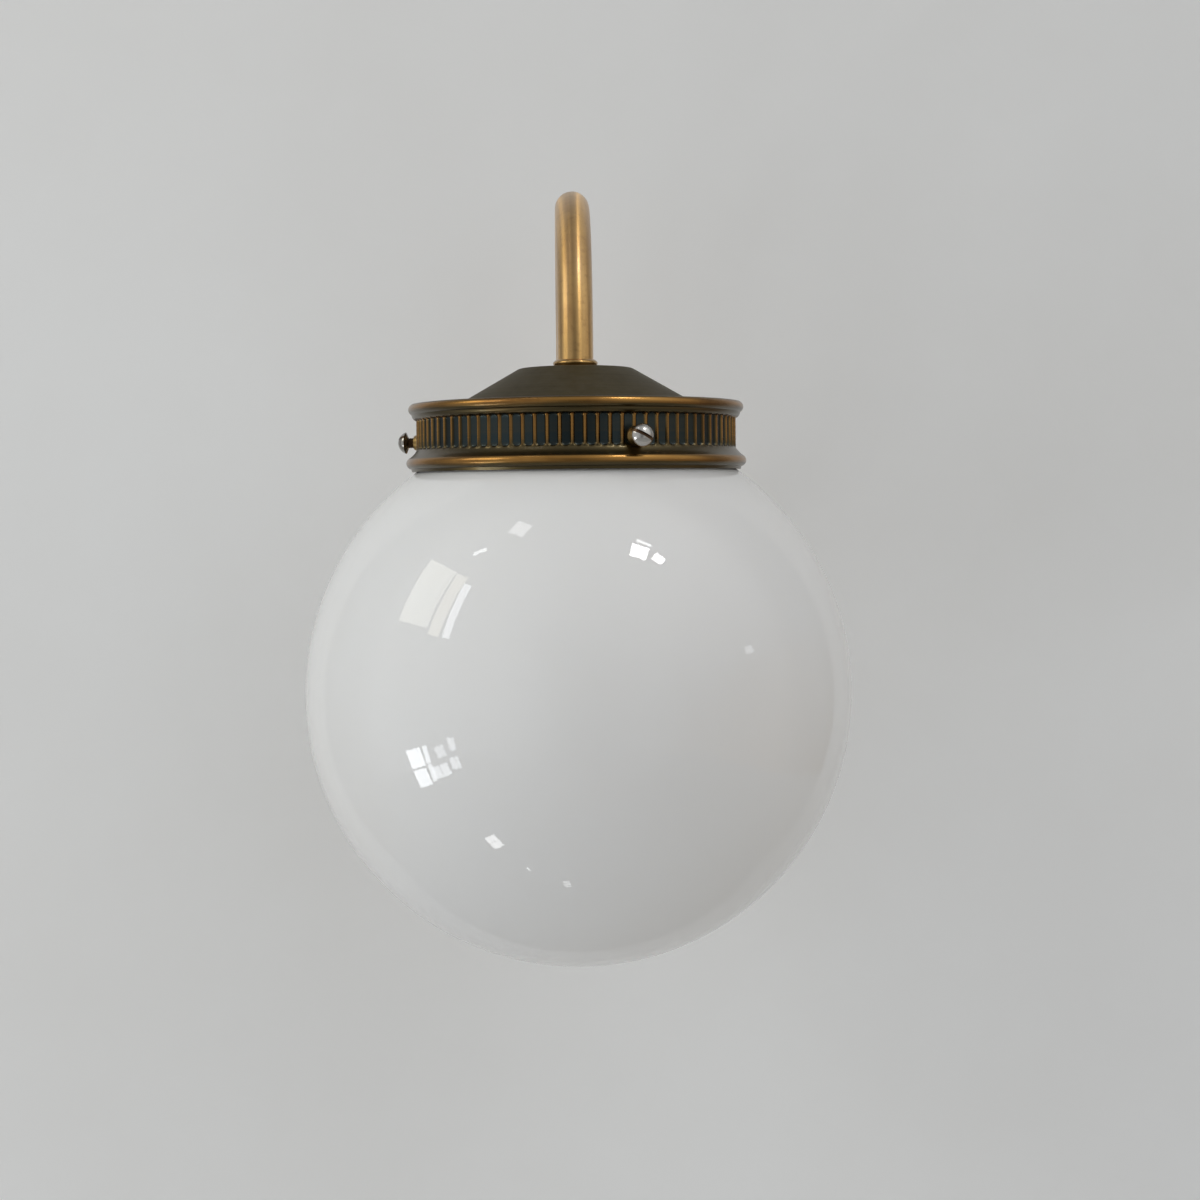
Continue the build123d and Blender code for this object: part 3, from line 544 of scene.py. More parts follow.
@dataclass(frozen=True)
class Metal(Finish):
    """A metal surface, from polished to satin, with tool marks, tarnish and dust.

    Attributes:
        tone: the colour of the clean metal.
        tarnish: the colour of its darker patches.
        gloss: the lowest and highest roughness.
        across: how fine the marks are across, in lines for each unit of the run.
        along: how fast they change along the run.
        marks: what the marks follow.
        depth: how deep the marks look.
        dust: how much dust lies on what faces up.
        streak: how far highlights are drawn out along a tube, from 0 to 1.
        lacquer: how much clear lacquer is left on it.
        lacquer_gloss: the lacquer's roughness.
    """

    tone: Rgb
    tarnish: Rgb
    gloss: tuple[float, float] = (0.22, 0.34)
    across: float = 60.0
    along: float = 0.4
    marks: Marks = Marks.ROLLED_OUT
    depth: float = 0.12
    dust: float = 0.15
    streak: float = 0.0
    lacquer: float = 0.0
    lacquer_gloss: float = 0.12

    def coordinates(self, g: Graph) -> tuple[bpy.types.NodeSocket, bpy.types.NodeSocket]:
        """Where the point is, and where it is on the surface rolled out.

        Args:
            g: the material's graph.

        Returns:
            The place in the object, and the coordinates that the tool marks follow.
        """
        place = g.add("TexCoord").outputs["Object"]
        if self.marks is Marks.IN_PLACE:
            scaled = g.add("VectorMath", {0: place, 3: 1 / MM}, operation="SCALE").outputs[0]
            return place, scaled
        return place, g.add("Attribute", attribute_name="run").outputs["Vector"]

    def shade(self, g: Graph, effects: Effects) -> bpy.types.NodeSocket:
        """A metallic shader whose tone and gloss follow the marks, the tarnish and the dust.

        Args:
            g: the material's graph.
            effects: the shared effects.

        Returns:
            The shader's output.
        """
        place, run = self.coordinates(g)
        marks = g.group(effects.marks, {"Run": run, "Across": self.across, "Along": self.along})
        clouds = g.group(effects.clouds, {"Place": place, "Scale": 45.0})
        dust = g.group(effects.dust, {"Place": place, "Amount": self.dust}).outputs[0]
        streaks = g.spread(marks.outputs["Streaks"], 0.35, 0.65, 0.0, 1.0)
        share = g.math("MULTIPLY_ADD", clouds.outputs["Mask"], 0.45, g.math("MULTIPLY", streaks, 0.4))
        colour = g.mix(share, self.tone, self.tarnish)
        colour = g.mix(g.math("MULTIPLY", clouds.outputs["Specks"], 0.35), colour, self.tarnish)
        colour = g.mix(dust, colour, METAL_DUST)
        rough = g.spread(marks.outputs["Lines"], 0.3, 0.7, *self.gloss)
        rough = g.math("MULTIPLY_ADD", dust, 0.5, rough)
        return self.shader(g, colour, rough, marks.outputs["Lines"])

    def shader(
        self,
        g: Graph,
        colour: bpy.types.NodeSocket,
        rough: bpy.types.NodeSocket,
        lines: bpy.types.NodeSocket,
    ) -> bpy.types.NodeSocket:
        """The metallic shader itself.

        A tube that is bent in the plane X = 0 runs along X x N, where N is its normal, so its
        drawn-out highlights take that as their direction.

        Args:
            g: the material's graph.
            colour: the metal's colour.
            rough: its roughness.
            lines: the height of its tool marks.

        Returns:
            The shader's output.
        """
        bump = g.add("Bump", {"Height": lines, "Strength": self.depth, "Distance": 0.05 * MM})
        sockets = {
            "Base Color": colour, "Metallic": 1.0, "Roughness": rough, "Normal": bump.outputs[0],
            "Coat Weight": self.lacquer, "Coat Roughness": self.lacquer_gloss,
        }
        if self.streak:
            normal = g.add("NewGeometry").outputs["Normal"]
            along = g.add("VectorMath", {0: (1.0, 0.0, 0.0), 1: normal}, operation="CROSS_PRODUCT")
            sockets |= {"Anisotropic": self.streak, "Tangent": along.outputs[0]}
        return g.add("BsdfPrincipled", sockets).outputs[0]


@dataclass(frozen=True)
class RubbedPatina(Metal):
    """A dark chemical patina that is rubbed through to the metal where the surface stands out.

    Attributes:
        patina: the colour of the whole patina, where the rub is 0. In a screw's slot this
        colour is painted shade, with some dirt.
        worn: the colour of the thinner patina, where the rub is 0.25.
        patina_gloss: its roughness.
    """

    patina: Rgb = (0.05, 0.055, 0.05)
    worn: Rgb = (0.09, 0.075, 0.05)
    patina_gloss: float = 0.32

    def shade(self, g: Graph, effects: Effects) -> bpy.types.NodeSocket:
        """The metal and the patina over it, by the rub of the surface, broken up by its marks.

        Args:
            g: the material's graph.
            effects: the shared effects.

        Returns:
            The shader's output.
        """
        place, run = self.coordinates(g)
        marks = g.group(effects.marks, {"Run": run, "Across": self.across, "Along": self.along})
        clouds = g.group(effects.clouds, {"Place": place, "Scale": 60.0})
        dust = g.group(effects.dust, {"Place": place, "Amount": self.dust}).outputs[0]
        rub = g.add("Attribute", attribute_name="rub").outputs["Fac"]
        uneven = g.spread(clouds.outputs["Mask"], 0.0, 1.0, -0.12, 0.12)
        uneven = g.math("MULTIPLY_ADD", g.math("SUBTRACT", marks.outputs["Lines"], 0.5), 0.5, uneven)
        bare = g.spread(g.math("ADD", rub, uneven), 0.3, 0.95, 0.0, 1.0)
        metal = g.mix(clouds.outputs["Mask"], self.tone, self.tarnish)
        thin = g.math("MULTIPLY_ADD", marks.outputs["Streaks"], 0.5, g.math("MULTIPLY", rub, 4.0))
        tint = g.mix(g.spread(thin, 0.15, 1.0, 0.0, 1.0), self.patina, self.worn)
        colour = g.mix(dust, g.mix(bare, tint, metal), PATINA_DUST)
        metal_rough = g.spread(marks.outputs["Lines"], 0.3, 0.7, *self.gloss)
        rough = g.add("Mix", {0: bare, 2: self.patina_gloss, 3: metal_rough}).outputs[0]
        return self.shader(g, colour, rough, marks.outputs["Lines"])


@dataclass(frozen=True)
class OpalGlass(Finish):
    """White opal glass: milky all through, with a fire-polished skin.

    Attributes:
        tone: its colour by day.
        warmth: the tint of its slight clouds.
        depth: how far light goes into it, in millimetres.
    """

    tone: Rgb = (0.89, 0.885, 0.87)
    warmth: Rgb = (0.87, 0.85, 0.82)
    depth: float = 6.0

    def shade(self, g: Graph, effects: Effects) -> bpy.types.NodeSocket:
        """A glossy white shader with light under its skin, and a blown surface's slight waves.

        Args:
            g: the material's graph.
            effects: the shared effects.

        Returns:
            The shader's output.
        """
        place = g.add("TexCoord").outputs["Object"]
        clouds = g.group(effects.clouds, {"Place": place, "Scale": 11.0})
        colour = g.mix(g.math("MULTIPLY", clouds.outputs["Mask"], 0.6), self.tone, self.warmth)
        waves = g.noise(place, 26.0, 1.0)
        smears = g.spread(g.noise(place, 70.0, 4.0), 0.45, 0.75, 0.003, 0.02)
        bump = g.add("Bump", {"Height": waves, "Strength": 0.03, "Distance": 2 * MM})
        return g.add(
            "BsdfPrincipled",
            {
                "Base Color": colour,
                "Roughness": smears,
                "IOR": 1.52,
                "Subsurface Weight": 0.35,
                "Subsurface Radius": (1.0, 0.98, 0.92),
                "Subsurface Scale": self.depth * MM,
                "Normal": bump.outputs[0],
            },
        ).outputs[0]


@dataclass(frozen=True)
class Moulded(Finish):
    """A plain moulded or glazed material: plastic, wire insulation, porcelain or black glass.

    Attributes:
        tone: its colour.
        second: the tint of its slight clouds, or of its stripes.
        gloss: its lowest and highest roughness.
        stripe: width of a lengthwise stripe in millimetres, or 0 for none.
        grain: how strong its fine grain is.
    """

    tone: Rgb = (0.8, 0.8, 0.78)
    second: Rgb = (0.75, 0.74, 0.70)
    gloss: tuple[float, float] = (0.3, 0.45)
    stripe: float = 0.0
    grain: float = 0.1

    def shade(self, g: Graph, effects: Effects) -> bpy.types.NodeSocket:
        """A plain shader with slight clouds, or stripes, and a fine grain.

        Args:
            g: the material's graph.
            effects: the shared effects.

        Returns:
            The shader's output.
        """
        place = g.add("TexCoord").outputs["Object"]
        clouds = g.group(effects.clouds, {"Place": place, "Scale": 80.0})
        share = clouds.outputs["Mask"]
        if self.stripe:
            across = g.add("SeparateXYZ", {0: place}).outputs[0]
            share = g.math("LESS_THAN", g.math("ABSOLUTE", across), self.stripe / 2 * MM)
        grain = g.noise(place, 2500.0, 2.0)
        bump = g.add("Bump", {"Height": grain, "Strength": self.grain, "Distance": 0.03 * MM})
        return g.add(
            "BsdfPrincipled",
            {
                "Base Color": g.mix(share, self.tone, self.second),
                "Roughness": g.spread(clouds.outputs["Mask"], 0.0, 1.0, *self.gloss),
                "Normal": bump.outputs[0],
            },
        ).outputs[0]


@dataclass(frozen=True)
class ClearGlass(Finish):
    """Clear thin glass.

    Attributes:
        tone: its faint tint.
    """

    tone: Rgb = (0.97, 0.985, 0.98)

    def shade(self, g: Graph, effects: Effects) -> bpy.types.NodeSocket:
        """A clear shader with a trace of smears in its gloss.

        Args:
            g: the material's graph.
            effects: the shared effects; not used here.

        Returns:
            The shader's output.
        """
        place = g.add("TexCoord").outputs["Object"]
        smears = g.spread(g.noise(place, 90.0, 3.0), 0.45, 0.8, 0.0, 0.05)
        return g.add(
            "BsdfPrincipled",
            {
                "Base Color": self.tone,
                "Roughness": smears,
                "IOR": 1.5,
                "Transmission Weight": 1.0,
            },
        ).outputs[0]


@dataclass(frozen=True)
class Plaster(Finish):
    """The stage's wall and floor: pale and matt.

    Attributes:
        tone: its colour.
        second: the tint of its broad patches.
        one_sided: whether the back of it is clear.
    """

    tone: Rgb = (0.865, 0.865, 0.86)
    second: Rgb = (0.835, 0.83, 0.82)
    one_sided: bool = False

    def shade(self, g: Graph, effects: Effects) -> bpy.types.NodeSocket:
        """A matt shader with a brushed, slightly uneven surface.

        Args:
            g: the material's graph.
            effects: the shared effects.

        Returns:
            The shader's output.
        """
        place = g.add("TexCoord").outputs["Object"]
        clouds = g.group(effects.clouds, {"Place": place, "Scale": 5.0})
        rough = g.noise(place, 180.0, 6.0)
        fine = g.noise(place, 1400.0, 3.0)
        height = g.math("MULTIPLY_ADD", fine, 0.25, rough)
        bump = g.add("Bump", {"Height": height, "Strength": 0.16, "Distance": 0.4 * MM})
        shader = g.add(
            "BsdfPrincipled",
            {
                "Base Color": g.mix(clouds.outputs["Mask"], self.tone, self.second),
                "Roughness": 0.85,
                "Specular IOR Level": 0.25,
                "Normal": bump.outputs[0],
            },
        ).outputs[0]
        if not self.one_sided:
            return shader
        back = g.add("NewGeometry").outputs["Backfacing"]
        clear = g.add("BsdfTransparent").outputs[0]
        return g.add("MixShader", {0: back, 1: shader, 2: clear}).outputs[0]


AGED_BRASS = Metal(
    "aged_brass", tone=(0.70, 0.43, 0.14), tarnish=(0.33, 0.16, 0.035), gloss=(0.30, 0.37),
    across=7.0, along=0.035, streak=0.98, lacquer=1.0, lacquer_gloss=0.32,
)
TURNED_BRASS = Metal(
    "turned_brass", tone=(0.48, 0.29, 0.095), tarnish=(0.22, 0.12, 0.035), gloss=(0.12, 0.2),
    across=0.6, along=9.0, lacquer=0.3,
)
SPUN_BRASS = Metal(
    "satin_brown_brass", tone=(0.075, 0.057, 0.024), tarnish=(0.048, 0.037, 0.017),
    gloss=(0.5, 0.62), across=1.2, along=8.0, dust=0.1,
)
PATINATED_BRASS = RubbedPatina(
    "patinated_brass", tone=(0.43, 0.21, 0.045), tarnish=(0.19, 0.09, 0.022), gloss=(0.19, 0.28),
    across=1.5, along=6.0, patina=(0.019, 0.030, 0.033), worn=(0.074, 0.055, 0.024),
    patina_gloss=0.3, dust=0.02, lacquer=0.15,
)
DARK_BRASS = Metal(
    "dark_brass", tone=(0.34, 0.22, 0.08), tarnish=(0.18, 0.12, 0.05), gloss=(0.28, 0.42),
    across=1.0, along=6.0,
)
PLAIN_BRASS = Metal(
    "plain_brass", tone=(0.83, 0.62, 0.30), tarnish=(0.66, 0.45, 0.18), gloss=(0.2, 0.34),
    across=1.0, along=7.0,
)
# Screws: the rub is 0 in their slots, so these patina colours fill the slots as painted shade, with
# some dirt. The threaded shanks have no rub either and take the same dark colour.
NICKEL_WITH_PAINTED_SLOT_SHADE = RubbedPatina(
    "nickel", tone=(0.52, 0.505, 0.48), tarnish=(0.28, 0.26, 0.235), gloss=(0.14, 0.24),
    across=2.0, along=5.0, patina=(0.10, 0.06, 0.035), worn=(0.16, 0.12, 0.08),
    patina_gloss=0.45, dust=0.0,
)
LAMP_CAP = Metal(
    "lamp_cap_metal", tone=(0.80, 0.80, 0.81), tarnish=(0.62, 0.61, 0.60), gloss=(0.22, 0.34),
    across=1.0, along=6.0, dust=0.0,
)
ZINC_STEEL = Metal(
    "zinc_steel", tone=(0.66, 0.67, 0.70), tarnish=(0.50, 0.52, 0.50), gloss=(0.28, 0.42),
    across=0.8, along=9.0, marks=Marks.IN_PLACE, dust=0.1,
)
CAD_BRASS = Metal(
    "terminal_brass", tone=(0.80, 0.60, 0.30), tarnish=(0.62, 0.44, 0.20), gloss=(0.25, 0.38),
    across=0.8, along=6.0, marks=Marks.IN_PLACE, dust=0.0,
)
OPAL = OpalGlass("opal_glass")
CLEAR = ClearGlass("clear_glass")
PORCELAIN = Moulded(
    "porcelain", tone=(0.86, 0.85, 0.81), second=(0.83, 0.81, 0.76), gloss=(0.08, 0.2), grain=0.04
)
NYLON = Moulded("nylon", tone=(0.84, 0.83, 0.79), second=(0.78, 0.76, 0.71))
BLACK_GLASS = Moulded(
    "black_glass", tone=(0.015, 0.014, 0.016), second=(0.03, 0.025, 0.035), gloss=(0.08, 0.16)
)
PHOSPHOR = Moulded("filament", tone=(0.86, 0.62, 0.14), second=(0.80, 0.55, 0.10), gloss=(0.45, 0.6))
BROWN_WIRE = Moulded("brown_insulation", tone=(0.16, 0.07, 0.03), second=(0.13, 0.055, 0.025))
BLUE_WIRE = Moulded("blue_insulation", tone=(0.04, 0.13, 0.45), second=(0.03, 0.11, 0.40))
EARTH_WIRE = Moulded(
    "green_yellow_insulation", tone=(0.06, 0.30, 0.07), second=(0.80, 0.72, 0.08), stripe=0.9
)
WALL_PLASTER = Plaster("wall_plaster", one_sided=True)
FLOOR_PLASTER = Plaster("floor_plaster", tone=(0.72, 0.71, 0.69), second=(0.69, 0.68, 0.66))


# ============================== Pieces ==============================


@dataclass
class Workshop:
    """Makes the pieces, dresses them and ties them to the frame.

    Attributes:
        effects: what the finishes share.
    """

    effects: Effects = field(default_factory=Effects)

    def make(
        self,
        name: str,
        surfaces: Sequence[Surface],
        finish: Finish,
        body: str,
        nodes: Sequence[str],
        slot: str,
        crease: float = 35.0,
    ) -> bpy.types.Object:
        """Joins surfaces into one mesh in metres, closes its seams and poles, and places it.

        Args:
            name: the piece's name.
            surfaces: its closed surfaces.
            finish: its finish.
            body: the body that it rides on.
            nodes: the solids that it stands for.
            slot: the record's material slot; not used.
            crease: the angle in degrees past which an edge is shaded as an edge.

        Returns:
            The piece.
        """
        counts = [s.points.shape[0] * s.points.shape[1] for s in surfaces]
        starts = np.concatenate([[0], np.cumsum(counts)[:-1]])
        points = np.concatenate([s.points.reshape(-1, 3) for s in surfaces]) * MM
        quads = np.concatenate([s.faces() + start for s, start in zip(surfaces, starts)])
        mesh = bpy.data.meshes.new(name)
        mesh.from_pydata(points.tolist(), [], quads.tolist())
        run = mesh.attributes.new("run", "FLOAT_VECTOR", "POINT")
        run.data.foreach_set(
            "vector", np.concatenate([s.run.reshape(-1) for s in surfaces]).astype(np.float32)
        )
        rub = mesh.attributes.new("rub", "FLOAT", "POINT")
        rub.data.foreach_set(
            "value", np.concatenate([s.rub.reshape(-1) for s in surfaces]).astype(np.float32)
        )
        tidy = bmesh.new()
        tidy.from_mesh(mesh)
        bmesh.ops.remove_doubles(tidy, verts=tidy.verts, dist=1e-3 * MM)
        bmesh.ops.dissolve_degenerate(tidy, edges=tidy.edges, dist=1e-4 * MM)
        bmesh.ops.recalc_face_normals(tidy, faces=tidy.faces)
        tidy.to_mesh(mesh)
        tidy.free()
        mesh.shade_smooth()
        mesh.set_sharp_from_angle(angle=math.radians(crease))
        mesh.materials.append(finish.material(self.effects))
        piece = bpy.data.objects.new(name, mesh)
        bpy.context.scene.collection.objects.link(piece)
        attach(piece, body)
        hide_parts(*nodes)
        log.info("%s: %d faces, rides on %s", name, len(mesh.polygons), body)
        return piece

    def dress(self, node: str, finish: Finish) -> None:
        """Gives a solid of the frame, whose shape stays, its finish.

        Args:
            node: the solid's name.
            finish: its finish.
        """
        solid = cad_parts[node]
        solid.data.materials.clear()
        solid.data.materials.append(finish.material(self.effects))
        log.info("%s: kept as it is, %s", node, finish.name)


FRAME_BODY = "lamp_frame"
PLATE_AXIS = Spindle((0.0, 0.0, 0.0), (0, -1, 0), (0, 0, 1))
TUBE_R = 5.0
TUBE_HOLE = TUBE_R + 0.03
CAP_PITCH = 3.62


def lamp_axis() -> Spindle:
    """The lamp's upright axis. A turn of 0 faces the front, and turns grow towards +X."""
    low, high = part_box("globe")
    return Spindle((0.0, (low.y + high.y) / 2 / MM, 0.0), (0, 0, 1), (0, -1, 0))


def outward(azimuth: float, height: float) -> Spindle:
    """An axis that leaves the lamp's axis at an azimuth from the front and at a height.

    A turn of 0 about it is to the right for someone who faces it.

    Args:
        azimuth: angle from the front, in degrees, which grows towards +X.
        height: its height.

    Returns:
        The axis, from the lamp's own axis outwards.
    """
    angle = math.radians(azimuth)
    away = (math.sin(angle), -math.cos(angle), 0.0)
    return Spindle((0.0, lamp_axis().origin[1], height), away, (-away[1], away[0], 0.0))


@dataclass(frozen=True)
class SlottedHead:
    """A domed screw head with a slot, on a thread.

    Attributes:
        radius: the head's radius.
        dome: height of its dome over its edge.
        under: height of the cone under its edge.
        slot: the slot's width.
        cut: the slot's depth below the top of the dome.
        slot_turn: the slot's turn about the screw, in degrees.
        shank: radius of the thread.
        pitch: pitch of the thread.
    """

    radius: float = 3.0
    dome: float = 2.2
    under: float = 0.7
    slot: float = 0.8
    cut: float = 1.2
    slot_turn: float = 0.0
    shank: float = 1.45
    pitch: float = 0.5

    def head(self, spindle: Spindle, edge: float) -> Surface:
        """The head as two sheets that meet at its edge.

        Columns lie across the slot, and rows go along it and back underneath. A point at a
        distance w across the slot and a share t of the way has t * sqrt(radius^2 - w^2) along it.
        The upper sheet is a sphere cap of radius (radius^2 + dome^2) / (2 dome), cut down to the
        slot's floor. The lower sheet is a cone that ends at the shank.

        Args:
            spindle: the screw's axis.
            edge: where the head is widest, along the axis.

        Returns:
            The head's surface, rubbed everywhere but in the slot, which is left dark as
            painted shade, with some dirt.
        """
        lip = 0.03
        half = self.slot / 2
        beside = half + lip + (self.radius - half - lip) * np.sin(np.linspace(0, math.pi / 2, 11))
        inside = np.array([0.0, half * 0.5, half])
        half_columns = np.concatenate([inside, beside])
        across = np.concatenate([-half_columns[:0:-1], half_columns])[None, :]
        share = np.sin(np.linspace(-math.pi / 2, math.pi / 2, 33))[:, None]
        along = share * np.sqrt(np.clip(self.radius**2 - across**2, 0, None))
        distance = np.hypot(across, along)
        ball = (self.radius**2 + self.dome**2) / (2 * self.dome)
        top = np.sqrt(np.clip(ball**2 - distance**2, 0, None)) - (ball - self.dome)
        in_slot = np.abs(across) <= half + 1e-6
        top = np.where(in_slot, np.minimum(top, self.dome - self.cut), top)
        slope = self.under / (self.radius - self.shank)
        bottom = -np.minimum((self.radius - distance) * slope, self.under)
        sheets = [
            np.concatenate([sheet, other[::-1]])
            for sheet, other in ((along, along), (top, bottom))
        ]
        wide = np.broadcast_to(across, sheets[0].shape)
        rub = np.ones(wide.shape)
        # The slot gets no rub, so its finish paints it dark: painted shade, with some dirt.
        rub[: len(share)] -= in_slot
        turn = np.arctan2(wide, sheets[0]) + math.radians(self.slot_turn)
        points = spindle.place(np.hypot(wide, sheets[0]), turn, edge + sheets[1])
        run = np.stack([wide, sheets[0], np.hypot(wide, sheets[0])], axis=-1)
        return Surface(points, run, rub, rows_meet=True, columns_meet=False)

    def threaded(self, spindle: Spindle, tip: float, edge: float) -> Surface:
        """The shank with its thread, from its chamfered tip to inside the head.

        Args:
            spindle: the screw's axis.
            tip: where the shank ends, along the axis.
            edge: where the head is widest.

        Returns:
            The shank's surface.
        """
        point, depth = 0.5, 0.2
        rows = levels(tip + point, edge - self.under / 2, self.pitch / 7)
        line = np.concatenate([
            [[0, tip], [self.shank - point, tip]],
            np.stack([np.full_like(rows, self.shank), rows], axis=1),
            [[0, rows[-1]]],
        ])
        cut = thread(self.pitch, depth, tip + point, edge)
        return lathe(line, spindle, 28, relief=cut)

    def soften(self, piece: bpy.types.Object) -> None:
        """Breaks the sharp edges of a finished head a little.

        Args:
            piece: the screw.
        """
        bevel = piece.modifiers.new("broken_edges", "BEVEL")
        bevel.width, bevel.segments, bevel.limit_method = 0.07 * MM, 2, "ANGLE"
        bevel.angle_limit = math.radians(50)
        bevel.harden_normals = False


@dataclass
class Gallery:
    """The fluted band, its cover, its three bushes and its three screws.

    Radii are from the lamp's axis. The band's stretches follow each other upwards: rim, lower
    bead, slope, flutes, cove and upper bead.

    Attributes:
        shop: where the pieces are made.
        rim_r: outer radius of the rim.
        rim_bore: inner radius of the rim.
        bore: inner radius of the rest of the band.
        ridge: radius of the ridges between the flutes.
        lower_bead: largest radius of the lower bead.
        upper_bead: largest radius of the upper bead.
        skirt_out: how far outside the ridges the slope starts.
        cove_out: how far outside the ridges the cove ends.
        rim_h: height of the rim.
        lower_bead_h: height of the lower bead.
        skirt_h: height of the slope.
        flute_h: height of the flutes.
        cove_h: height of the cove.
        upper_bead_h: height of the upper bead.
        ledge_out: width of the ledge that the cover rests on.
        cover_sink: how far the cover's rim lies below the band's top.
        cover_wall: thickness of the cover's sheet.
        cover_top: radius of the flat on top of the cover.
        cover_foot: radius where its cone meets its flat rim.
        flutes: how many flutes go round.
        flute_depth: how deep a flute is pressed in.
        flute_reach: how far its upper end runs out into the cove over the belt.
        flute_wall: how far in from its outline a flute reaches its full depth.
        land: width of the ridge between two flutes.
        crown: how much lower the ridge's edges are than its middle.
        screw_rise: height of the screws over the rim's lower edge.
        head_under: radius of the underside of a screw's head.
        screw_tip: radius of a screw's tip.
        screw_azimuths: each screw's name, its angle from the front and its slot's turn, in degrees.
    """

    shop: Workshop
    rim_r: float = 45.44
    rim_bore: float = 44.34
    bore: float = 42.85
    ridge: float = 43.95
    lower_bead: float = 46.77
    upper_bead: float = 46.07
    skirt_out: float = 2.1
    cove_out: float = 1.25
    rim_h: float = 0.75
    lower_bead_h: float = 2.9
    skirt_h: float = 2.15
    flute_h: float = 8.2
    cove_h: float = 1.6
    upper_bead_h: float = 2.8
    ledge_out: float = 1.25
    cover_sink: float = 0.9
    cover_wall: float = 1.0
    cover_top: float = 15.6
    cover_foot: float = 34.0
    flutes: int = 85
    flute_depth: float = 0.5
    flute_reach: float = 0.5
    flute_wall: float = 0.42
    land: float = 0.45
    crown: float = 0.1
    screw_rise: float = 8.3
    head_under: float = 47.7
    screw_tip: float = 38.8
    screw_azimuths: tuple[tuple[str, float, float], ...] = (
        ("front", 19.5, -28.0), ("left", -100.5, 35.0), ("rear", 139.5, 10.0)
    )

    def __post_init__(self) -> None:
        """Works out the heights from the band's box."""
        low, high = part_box("gallery_band")
        self.rim_z, self.top_z = low.z / MM, high.z / MM
        self.bead_z = self.rim_z + self.rim_h
        self.skirt_z = self.bead_z + self.lower_bead_h
        self.flute_z = self.skirt_z + self.skirt_h
        self.cove_z = self.flute_z + self.flute_h
        self.upper_z = self.cove_z + self.cove_h
        self.screw_z = self.rim_z + self.screw_rise
        self.axis = lamp_axis()

    @property
    def pitch(self) -> float:
        """Width of a flute and a ridge together, round the ridges."""
        return FULL_TURN * self.ridge / self.flutes

    def sideways(self, turn: Array) -> Array:
        """Distance round the belt from the middle of the nearest flute."""
        beat = turn * self.flutes / FULL_TURN
        return np.abs(beat - np.round(beat)) * self.pitch

    def flute_distance(self, turn: Array, along: Array) -> Array:
        """How far a point of the belt lies inside a flute's outline, negative outside it.

        A flute is a rectangle with rounded corners. With q the distances past the inner
        rectangle whose corners are the corner arcs' centres, the distance inside is
        corner - |max(q, 0)| - min(max(q), 0).

        Args:
            turn: turns about the lamp's axis.
            along: heights.

        Returns:
            The distance at each point.
        """
        corner = 1.0
        sideways = self.sideways(turn)
        middle = (self.flute_z + self.cove_z + self.flute_reach) / 2
        past_side = sideways - ((self.pitch - self.land) / 2 - corner)
        past_end = np.abs(along - middle) - (middle - self.flute_z - corner)
        outside = np.hypot(np.maximum(past_side, 0), np.maximum(past_end, 0))
        return corner - outside - np.minimum(np.maximum(past_side, past_end), 0)

    def flute_relief(self, turn: Array, across: Array, along: Array) -> tuple[Array, Array]:
        """Flutes pressed into the belt, and where the patina is rubbed off the band.

        The depth grows as 3 x^2 - 2 x^3 over the first stretch inside a flute's outline, and a
        ridge falls as crown * x^2 from its middle to its edges. The rub is full on the ridges,
        strong on the two beads, and fades towards the ridges' feet.

        Args:
            turn: turns about the lamp's axis.
            across: distances from it.
            along: heights.

        Returns:
            What to add to the distance, and the rub.
        """
        inside = np.clip(self.flute_distance(turn, along) / self.flute_wall, 0, 1)
        on_belt = (across > self.ridge - 1e-3) & (along >= self.flute_z - 1e-6)
        on_belt &= along <= self.cove_z + self.flute_reach
        sunk = inside**2 * (3 - 2 * inside) * on_belt
        out = across - self.ridge
        from_ridge = np.clip((self.pitch / 2 - self.sideways(turn)) / (self.land / 2), 0, 1)
        ends = np.clip(np.minimum(along - self.flute_z, self.cove_z - along) / 0.8, 0, 1)
        crowned = self.crown * from_ridge**2 * ends * on_belt
        rise = (along - self.upper_z) / self.upper_bead_h
        upper = np.clip((out - 1.2) / 0.7, 0, 1) * np.clip(rise * 1.7, 0, 1)
        lower = np.clip((out - 1.7) / 0.9, 0, 1) * (along < self.skirt_z + 0.1)
        lower = lower * np.clip((along - self.bead_z) / 1.6, 0, 1)
        foot = np.clip((along - self.flute_z) / 3.0, 0, 1)
        ridges = (0.3 + 0.5 * foot) * (1 - sunk) * on_belt * (along < self.cove_z + 0.2)
        thin = 0.25 * (1 - on_belt * np.clip(sunk * 3, 0, 1)) * (out > -0.2)
        rub = np.maximum(np.maximum(np.maximum(upper, lower) * 0.85, ridges), thin)
        return -self.flute_depth * sunk - crowned, rub

    def belt_turns(self) -> Array:
        """Columns of the band: the same few turns in each flute, close together at its walls.

        Returns:
            The turns about the lamp's axis.
        """
        edge, wall = (self.pitch - self.land) / 2, self.flute_wall
        half = np.array([0.55, edge - wall, edge - wall / 2, edge, edge + self.land / 4]) / self.pitch
        beat = np.concatenate([[0.0], half, [0.5], 1 - half[::-1]])
        return ((np.arange(self.flutes)[:, None] + beat) * FULL_TURN / self.flutes).ravel()

    def belt_levels(self) -> Array:
        """Rows of the belt: close together where the flutes end.

        Returns:
            The heights, from the flutes' feet to their heads.
        """
        middle = (self.flute_z + self.cove_z) / 2
        foot = self.flute_h / 2 - np.array([0.0, 0.14, 0.28, 0.42, 0.6, 0.8, 1.0, 1.3, 2.4])
        head = self.flute_h / 2 - np.array([2.4, 1.2, 0.9, 0.65, 0.4, 0.2, 0.0])
        return middle + np.concatenate([-foot, [0.0], head])

